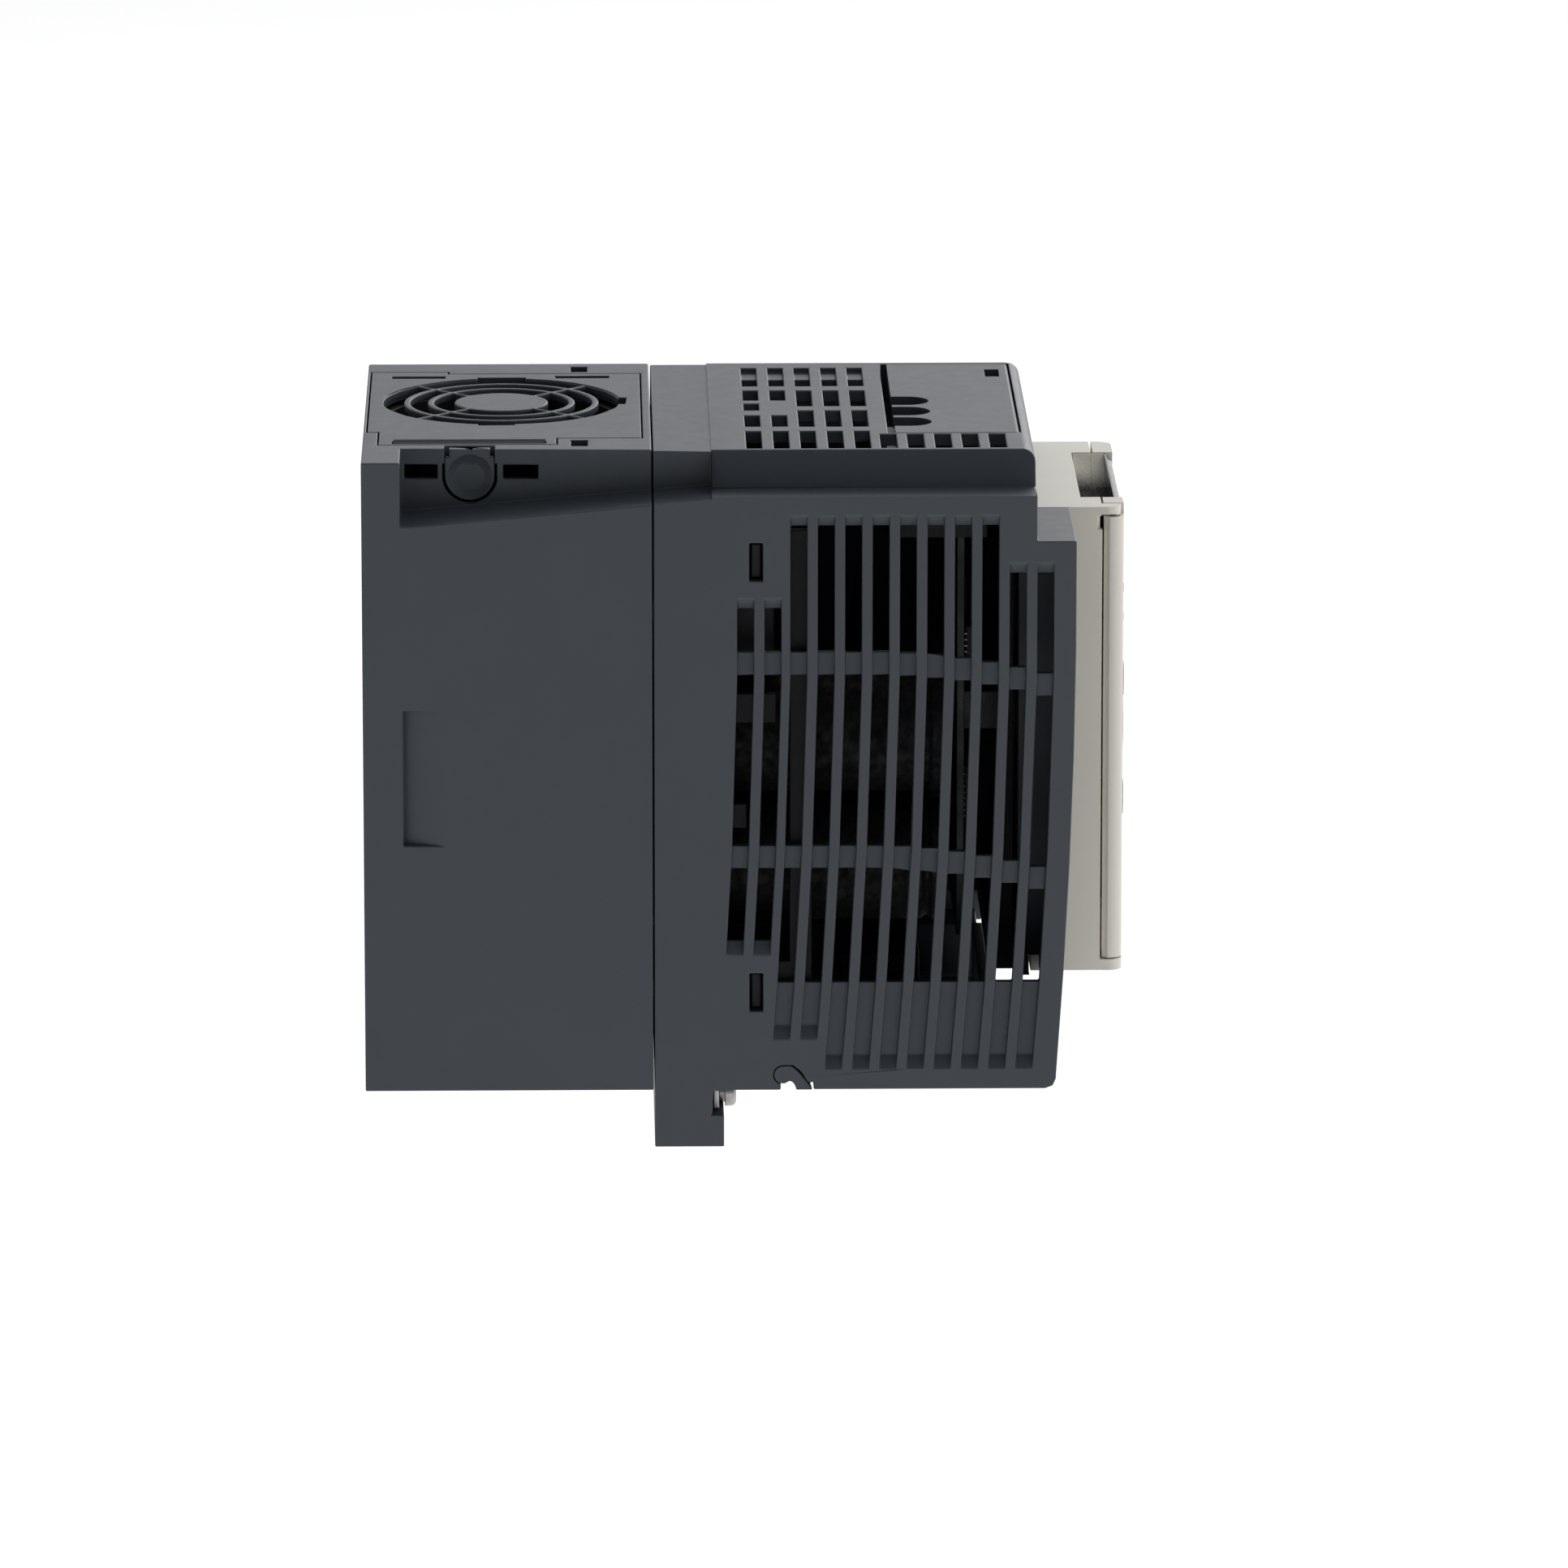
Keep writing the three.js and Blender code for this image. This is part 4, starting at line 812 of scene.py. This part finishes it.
    def rotor(self) -> None:
        """The rotor: a cup with a rounded rim and swept, twisted blades."""
        x, d = self.axis
        box = self.area
        cup = [(0, 0), (10.3, 0), (10.6, 0.4), (10.6, 13.8), (9.4, 15), (3.0, 15), (2.6, 14.6), (0, 14.6)]
        rotor = Model.spun("fan_rotor_blades", (x, d, box.z0), cup, Axis.Z, 64)
        blade = self.blade(box)
        turns = [blade]
        for i in range(1, self.blades):
            copy = blade.duplicate("blade", Vector())
            copy.edit()
            bpy.ops.mesh.select_all(action="SELECT")
            turn = math.tau * i / self.blades
            bpy.ops.transform.rotate(value=turn, orient_axis="Z", center_override=at(x, d, box.z0))
            copy.leave()
            turns.append(copy)
        rotor.gather(turns).finish(BLACK_PBT, "fan_rotor", "fan_rotor")

    def blade(self, box: Extent) -> Model:
        """One blade: a grid bent along a helix, given a thickness."""
        x, d = self.axis
        centre = at(x, d, box.z0)
        deselect()
        bpy.ops.mesh.primitive_grid_add(x_subdivisions=10, y_subdivisions=8, size=1)
        model = Model(bpy.context.object, "blade")
        for vertex in model.obj.data.vertices:
            across, along = vertex.co.x + 0.5, vertex.co.y + 0.5
            radius = 9.8 + across * 12.3
            angle = (along - 0.5) * (0.95 - 0.25 * across) - across * 0.22
            height = 1.3 + along * 12.0 - 0.8 * across * (1 - along)
            vertex.co = centre + Vector((radius * math.cos(angle), radius * math.sin(angle), height)) * MM
        model.modify("SOLIDIFY", thickness=1.0 * MM, offset=0.0)
        model.modify("BEVEL", width=0.3 * MM, segments=2, limit_method="ANGLE", angle_limit=math.radians(40))
        return model


# ------------------------------------------------------------------ operator panel


@dataclass
class OperatorPanel:
    """The pale panel on the front: housing, door, window, dial, keys and what sits behind."""

    knurls: int = 40
    door_radius: float = 3.0
    bore: float = 1.2
    lip: float = 30.6
    post_foot: float = 124.4
    seam: float = 151.6
    pane: float = 1.6
    trough_radius: float = 38.0

    def build(self) -> None:
        """Builds every piece of the panel."""
        self.housing()
        self.door()
        self.window()
        refine("door_hinge_pin", ZINC_STEEL, 0.15)
        # The finger scoop is coloured with the trough's painted shade ramp.
        refine("finger_scoop", TROUGH_PAINTED_SHADE, 0.15)
        refine("display_module", BLACK_PBT, 0.2)
        self.dial()
        refine("jog_dial_shaft", ZINC_STEEL, 0.15)
        refine("rotary_encoder", BLACK_PBT, 0.3)
        self.keys()
        for lamp in ("status_led_1", "status_led_2"):
            refine(lamp, GREEN_ABS, 0.4)
        refine("panel_board", BOARD, 0.15)
        self.socket()
        refine("logic_switch_base", BLACK_PBT, 0.2)
        refine("logic_switch", PALE_ABS, 0.2)
        refine("control_terminal_block", GREEN_PBT, 0.2)

    def housing(self) -> None:
        """The panel's housing: its front corners are as round as the door's, and its notch is deep."""
        box = Extent.of("panel_housing")
        model = Model.copy_of("panel_housing", "panel_housing_skin")
        for low, high, front in ((box.z0 - 1, self.lip, box.d1), (self.post_foot, box.z1 + 1, box.d1 - 0.7)):
            self.round_corner(model, box.x0, front, (low, high))
            self.round_corner(model, box.x1, front, (low, high), right=True)
        side, foot = (box.x0 - 1, box.x0 + 2.6), self.post_foot
        model.carve(Model.block("notch", side, (self.seam - 0.45, self.seam + 0.1), (foot - 2.9, foot + 0.3)))
        model.carve(Model.block("notch", side, (self.seam - 0.45, box.d1 - 1.6), (foot - 0.1, foot + 0.3)))
        model.soften(0.1).finish(PALE_ABS, body_of("panel_housing"), "panel_housing")

    def round_corner(self, model: Model, x: float, d: float, z: tuple, right: bool = False) -> None:
        """Cuts an upright outer corner to a large radius.

        Args:
            model: the piece.
            x: the side that the corner lies on.
            d: the front that it lies on.
            z: both ends of the cut.
            right: whether it is the right side.
        """
        radius = self.door_radius
        inward = -radius if right else radius
        across = sorted((x - inward * 0.4, x + inward))
        tool = Model.block("corner", tuple(across), (d - radius, d + 1), z)
        core = Model.rod("core", (x + inward, d - radius, sum(z) / 2), radius, z[1] - z[0] + 2, Axis.Z, 96)
        model.carve(tool.carve(core))

    def door(self) -> None:
        """The door: its long front edges are well rounded, the rest only softened."""
        box = Extent.of("panel_door")
        model = Model.copy_of("panel_door", "panel_door_skin")
        self.round_corner(model, box.x0, box.d1, (box.z0 - 1, box.z1 + 1))
        self.round_corner(model, box.x1, box.d1, (box.z0 - 1, box.z1 + 1), right=True)
        model.soften(0.1)
        model.finish(PALE_ABS, "door", "panel_door")

    def window(self) -> None:
        """The smoked window, and behind its top edge the rest of the finger trough, coloured with painted shade
        from black to lit pale grey.
        """
        box = Extent.of("display_lens")
        scoop = Extent.of("finger_scoop")
        lens = Model.copy_of("display_lens", "display_lens_pane")
        back = box.d1 - self.pane
        lens.carve(Model.block("rebate", (box.x0 - 1, box.x1 + 1), (box.d0 - 1, back), (scoop.z0, box.z1 + 1)))
        lens.soften(0.45, 3).finish(SMOKED_ACRYLIC, "door", "display_lens")
        deep, high = (scoop.d1 + 0.02, back - 0.02), (scoop.z0 + 0.2, scoop.z1)
        trough = Model.block("finger_trough", (box.x0, box.x1), deep, high)
        middle = scoop.z0 + 1.3 + self.trough_radius
        trough.carve(Model.rod("hollow", (scoop.centre[0], back, middle), self.trough_radius, 20, Axis.DEPTH, 192))
        # The trough's colour is painted shade: black at the near end, lit pale grey at the far end.
        trough.finish(TROUGH_PAINTED_SHADE, "door")

    def dial(self) -> None:
        """The jog dial: a knurled rim, a dished face and a fingertip hollow."""
        box = Extent.of("jog_dial")
        x, _, z = box.centre
        radius = (box.x1 - box.x0) / 2
        deep = box.d1 - box.d0
        profile = [(0, self.bore), (3.5, self.bore), (3.5, 0), (radius - 0.5, 0), (radius, 0.5)]
        profile += [(radius, deep - 0.9), (radius - 0.25, deep - 0.35), (radius - 0.9, deep), (radius - 1.8, deep)]
        profile += [(radius - 2.4, deep - 0.25), (0, deep - 0.35)]
        dial = Model.spun("jog_dial_knob", (x, box.d0, z), profile, Axis.DEPTH, 160)
        dial.carve(Model.ball("tip", (x, box.d1 + 5.7, z + radius * 0.52), 6.6, 48, 24))
        for i in range(self.knurls):
            angle = math.tau * i / self.knurls
            out = radius + 0.22
            spot = (x + out * math.cos(angle), box.d1 - deep / 2 + 0.4, z + out * math.sin(angle))
            dial.carve(Model.rod("knurl", spot, 0.5, deep, Axis.DEPTH, 12))
        dial.finish(GREY_ABS, "dial", "jog_dial")

    def keys(self) -> None:
        """The four keys, with well rounded edges."""
        looks = {"esc_button": GREY_ABS, "mode_button": GREY_ABS, "run_button": GREEN_ABS, "stop_button": RED_ABS}
        for node, look in looks.items():
            refine(node, look, 0.55)

    def socket(self) -> None:
        """The RJ45 socket, with its mouth's edges softened."""
        refine("rj45_socket", BLACK_PBT, 0.15)


# ------------------------------------------------------------------ electronics


@dataclass
class Electronics:
    """What the housings hold: boards, power module, capacitors, choke and relay."""

    turns: int = 11

    def build(self) -> None:
        """Builds every piece."""
        refine("power_board", BOARD, 0.15)
        refine("control_board", BOARD, 0.15)
        refine("power_module", BLACK_PBT, 0.4)
        refine("charge_relay", BLACK_PBT, 0.5)
        for i in (1, 2, 3):
            self.capacitor(f"bus_capacitor_{i}")
        self.choke()
        self.board_parts()

    def capacitor(self, node: str) -> None:
        """An electrolytic can: crimped sleeve and a dished, vented end."""
        box = Extent.of(node)
        x, _, z = box.centre
        radius = (box.x1 - box.x0) / 2
        length = box.d1 - box.d0
        profile = [(0, 0.4), (radius - 1.6, 0.4), (radius - 1.2, 0), (radius - 0.4, 0.1), (radius, 0.6)]
        profile += [(radius, length - 5), (radius - 0.7, length - 4.2), (radius - 0.7, length - 3.6)]
        profile += [(radius, length - 2.8), (radius, length - 0.6), (radius - 0.6, length), (radius - 1.8, length)]
        profile += [(radius - 2.2, length - 0.5), (0, length - 0.5)]
        Model.spun(f"{node}_can", (x, box.d0, z), profile, Axis.DEPTH, 64).finish(
            PVC_SLEEVE, body_of(node), node, angle=40.0)

    def choke(self) -> None:
        """A toroid choke: a coated ring with two windings of enamelled copper on it."""
        box = Extent.of("filter_choke")
        x, d, z = box.centre
        outer = (box.x1 - box.x0) / 2
        inner, half, edge = outer / 2, (box.d1 - box.d0) / 2, 1.2
        profile = [(inner, edge - half), (inner + edge, -half), (outer - edge, -half), (outer, edge - half)]
        profile += [(radius, -height) for radius, height in reversed(profile)]
        ring = Model.spun("choke_core", (x, d, z), [*profile, profile[0]], Axis.DEPTH, 48)
        ring.finish(BLACK_PBT, "drive", "filter_choke")
        turn = self.winding(x + (inner + outer) / 2, d, z, (outer - inner) / 2 + 0.45, half + 0.45)
        turns = []
        for side in (0.0, math.pi):
            for i in range(self.turns):
                angle = side + math.radians(-60 + 120 * i / (self.turns - 1))
                copy = turn.duplicate("turn", Vector())
                copy.edit()
                bpy.ops.mesh.select_all(action="SELECT")
                bpy.ops.transform.rotate(value=angle, orient_axis="Y", center_override=at(x, d, z))
                copy.leave()
                turns.append(copy)
        bpy.data.objects.remove(turn.obj)
        turns[0].gather(turns[1:])
        turns[0].obj.name = "choke_windings"
        turns[0].finish(COPPER_WIRE, "drive", angle=80.0)

    @staticmethod
    def winding(x: float, d: float, z: float, wide: float, high: float) -> Model:
        """One turn of wire round the ring's section, at its place on the ring's right."""
        deselect()
        bpy.ops.mesh.primitive_torus_add(major_radius=MM, minor_radius=0.14 * MM, major_segments=28,
                                         minor_segments=8, location=at(x, d, z))
        turn = Model(bpy.context.object, "turn")
        turn.obj.scale = (wide, high, 4.0)
        return turn.settle()

    def board_parts(self) -> None:
        """Small parts soldered to the two boards: chips with legs, and plug connectors."""
        front = Extent.of("control_board").d0
        for i, (x, z, wide) in enumerate(((66, 60, 12), (84, 60, 9), (52, 94, 9), (86, 98, 7))):
            self.chip(f"control_chip_{i + 1}", x, front + 1.6, z, wide)
        back = Extent.of("power_board").d1
        for i, (x, z, wide) in enumerate(((84, 84, 8), (84, 66, 8), (84, 48, 8), (40, 108, 7))):
            self.chip(f"driver_chip_{i + 1}", x, back, z, wide)

    @staticmethod
    def chip(name: str, x: float, d: float, z: float, wide: float) -> None:
        """A chip: a bevelled body on a row of straight legs down both sides."""
        half = wide / 2
        body = Model.block(name, (x - half, x + half), (d + 0.25, d + 1.9), (z - half, z + half))
        body.soften(0.25)
        legs = []
        count = int(wide / 1.27) - 1
        for side in (-1, 1):
            for i in range(count):
                up = z - (count - 1) * 0.635 + i * 1.27
                inner, outer = x + side * (half - 0.1), x + side * (half + 0.9)
                legs.append(Model.block("leg", (min(inner, outer), max(inner, outer)), (d + 0.05, d + 0.75),
                                        (up - 0.2, up + 0.2)).soften(0.08, 1))
        body.finish(BLACK_PBT, "drive")
        legs[0].gather(legs[1:])
        legs[0].obj.name = f"{name}_legs"
        legs[0].finish(ZINC_STEEL, "drive")


# ------------------------------------------------------------------ terminals and fasteners


@dataclass(frozen=True)
class ScrewKind:
    """One size of pan-head screw: its nodes, its direction, and the sizes that its box hides."""

    nodes: str
    count: int
    axis: Axis
    shank: float
    head: float
    washer: float = 0.0
    from_wall: bool = False


class Fastenings:
    """Terminal rows, the earth plate and every screw."""

    KINDS = (
        ScrewKind("earth_screw", 2, Axis.DEPTH, 1.4, 2.3, 1.1),
        ScrewKind("line_terminal_screw", 3, Axis.Z, 1.6, 2.4),
        ScrewKind("motor_terminal_screw", 3, Axis.DEPTH, 1.8, 2.4),
        ScrewKind("case_screw", 2, Axis.DEPTH, 1.4, 2.4, from_wall=True),
        ScrewKind("module_screw", 2, Axis.DEPTH, 1.5, 1.6),
    )

    def build(self) -> None:
        """Builds every piece."""
        refine("line_terminal_block", BLACK_PBT, 0.25)
        refine("motor_terminal_block", BLACK_PBT, 0.25)
        refine("earth_plate", ZINC_STEEL, 0.2)
        for kind in self.KINDS:
            self.screws(kind)

    def screws(self, kind: ScrewKind) -> None:
        """Turns one screw of a kind and copies it to the places of the others."""
        first = Extent.of(f"{kind.nodes}_1")
        spare = self.screw(kind, first)
        for i in range(1, kind.count + 1):
            here = Extent.of(f"{kind.nodes}_{i}")
            shift = at(*here.centre) - at(*first.centre)
            copy = spare.duplicate(f"{kind.nodes}_{i}_turned", shift)
            copy.finish(ZINC_STEEL, "drive", f"{kind.nodes}_{i}")
        bpy.data.objects.remove(spare.obj)

    @staticmethod
    def screw(kind: ScrewKind, box: Extent) -> Model:
        """One threaded screw with a rounded pan head and a cross recess.

        Args:
            kind: its size.
            box: the box of its CAD node.

        Returns:
            The screw at the place of the node.
        """
        x, d, z = box.centre
        upright = kind.axis is Axis.Z
        length = (box.z1 - box.z0) if upright else (box.d1 - box.d0)
        radius = (box.x1 - box.x0) / 2
        seat = length - kind.head
        stem = [(0, 0), (kind.shank - 0.35, 0)]
        height = 0.35
        while height < seat - kind.washer - 0.9:
            stem += [(kind.shank, height), (kind.shank - 0.22, height + 0.35)]
            height += 0.7
        stem.append((kind.shank, seat - kind.washer))
        if kind.washer:
            stem += [(radius * 0.72, seat - kind.washer), (radius * 0.72, seat - 0.02)]
        cap = [(radius - 0.1, seat), (radius, seat + 0.12), (radius, length - kind.head * 0.45)]
        cap += [(radius * 0.95, length - kind.head * 0.22), (radius * 0.8, length - 0.1), (radius * 0.6, length)]
        profile = [*stem, *cap, (0, length)]
        if kind.from_wall:
            profile = [(r, length - h) for r, h in reversed(profile)]
        foot = (x, d, box.z0) if upright else (x, box.d0, z)
        screw = Model.spun("screw", foot, profile, kind.axis, 40)
        face = box.z1 if upright else (box.d0 if kind.from_wall else box.d1)
        deep, arm, thick = 1.0, radius * 0.58, radius * 0.15
        near, far = (face - deep, face + 1) if not kind.from_wall else (face - 1, face + deep)
        for wide, high in ((arm, thick), (thick, arm)):
            if upright:
                slot = Model.block("slot", (x - wide, x + wide), (d - high, d + high), (near, far))
            else:
                slot = Model.block("slot", (x - wide, x + wide), (near, far), (z - high, z + high))
            screw.carve(slot)
        return screw


# ------------------------------------------------------------------ studio


@dataclass
class Studio:
    """A pale floor well below the drive, a bright room on its right and a dim one on its left."""

    lens: float = 273.7
    camera_place: tuple[float, float, float] = (-2.4147, -0.0430, 0.5437)
    pitch_deg: float = 12.99
    yaw_deg: float = 1.032
    floor_drop: float = 0.3
    floor_size: float = 24.0
    floor_glow: float = 0.42
    bright_side: tuple[float, float, float] = (0.8, -0.52, -0.28)
    ramp: tuple[float, float, float, float] = (-0.75, 0.95, 0.13, 1.2)

    def build(self) -> None:
        """Sets up camera, world, lights and floor."""
        self.camera()
        self.world()
        self.lights()
        self.floor()

    def camera(self) -> None:
        """A long lens that looks at the left side from slightly above."""
        data = bpy.data.cameras.new("camera")
        data.lens = self.lens
        data.clip_end = 100
        camera = bpy.data.objects.new("camera", data)
        bpy.context.scene.collection.objects.link(camera)
        camera.location = self.camera_place
        pitch, yaw = math.radians(self.pitch_deg), math.radians(self.yaw_deg)
        aim = Vector((math.cos(pitch) * math.cos(yaw), -math.cos(pitch) * math.sin(yaw), -math.sin(pitch)))
        camera.rotation_euler = aim.to_track_quat("-Z", "Y").to_euler()
        bpy.context.scene.camera = camera

    def world(self) -> None:
        """A room that brightens from the left of the drive to its right."""
        world = bpy.data.worlds.new("studio")
        world.use_nodes = True
        tree = world.node_tree
        background = next(n for n in tree.nodes if n.type == "BACKGROUND")
        place = tree.nodes.new("ShaderNodeTexCoord")
        side = tree.nodes.new("ShaderNodeVectorMath")
        side.operation = "DOT_PRODUCT"
        side.inputs[1].default_value = self.bright_side
        ramp = tree.nodes.new("ShaderNodeMapRange")
        for socket, value in zip(("From Min", "From Max", "To Min", "To Max"), self.ramp):
            ramp.inputs[socket].default_value = value
        tree.links.new(place.outputs["Generated"], side.inputs[0])
        tree.links.new(side.outputs["Value"], ramp.inputs["Value"])
        tree.links.new(ramp.outputs["Result"], background.inputs["Strength"])
        background.inputs["Color"].default_value = (0.98, 0.99, 1.0, 1.0)
        bpy.context.scene.world = world
        bpy.context.scene.view_settings.view_transform = "Standard"

    def lights(self) -> None:
        """One large soft light high on the right."""
        self.area("key", (2.4, -1.3, 1.3), 1.8, 24.0)

    def area(self, name: str, place: tuple, size: float, watts: float) -> None:
        """A square area light that faces the drive."""
        data = bpy.data.lights.new(name, "AREA")
        data.size = size
        data.energy = watts
        light = bpy.data.objects.new(name, data)
        bpy.context.scene.collection.objects.link(light)
        light.location = place
        light.rotation_euler = (-Vector(place)).to_track_quat("-Z", "Y").to_euler()

    def floor(self) -> None:
        """A wide matt floor of opal acrylic, lit from below as a light table is."""
        deselect()
        bpy.ops.mesh.primitive_plane_add(size=self.floor_size, location=(0, 0, CAD_BOX[0].z - self.floor_drop))
        floor = bpy.context.object
        floor.name = "floor"
        nodes = Nodes("opal_acrylic_lit")
        nodes.feed("Base Color", (0.93, 0.93, 0.93, 1.0))
        nodes.feed("Roughness", 0.9)
        nodes.feed("Specular IOR Level", 0.1)
        nodes.feed("Emission Color", (1.0, 1.0, 1.0, 1.0))
        nodes.feed("Emission Strength", self.floor_glow)
        floor.data.materials.append(nodes.material)


def main() -> None:
    """Builds the studio and every sub-assembly in order."""
    logging.basicConfig(level=logging.INFO, format="%(message)s")
    for part in (Studio(), Casing(), FanModule(), OperatorPanel(), Electronics(), Fastenings()):
        LOG.info("building %s", type(part).__name__)
        part.build()


if __name__ == "__main__":
    main()
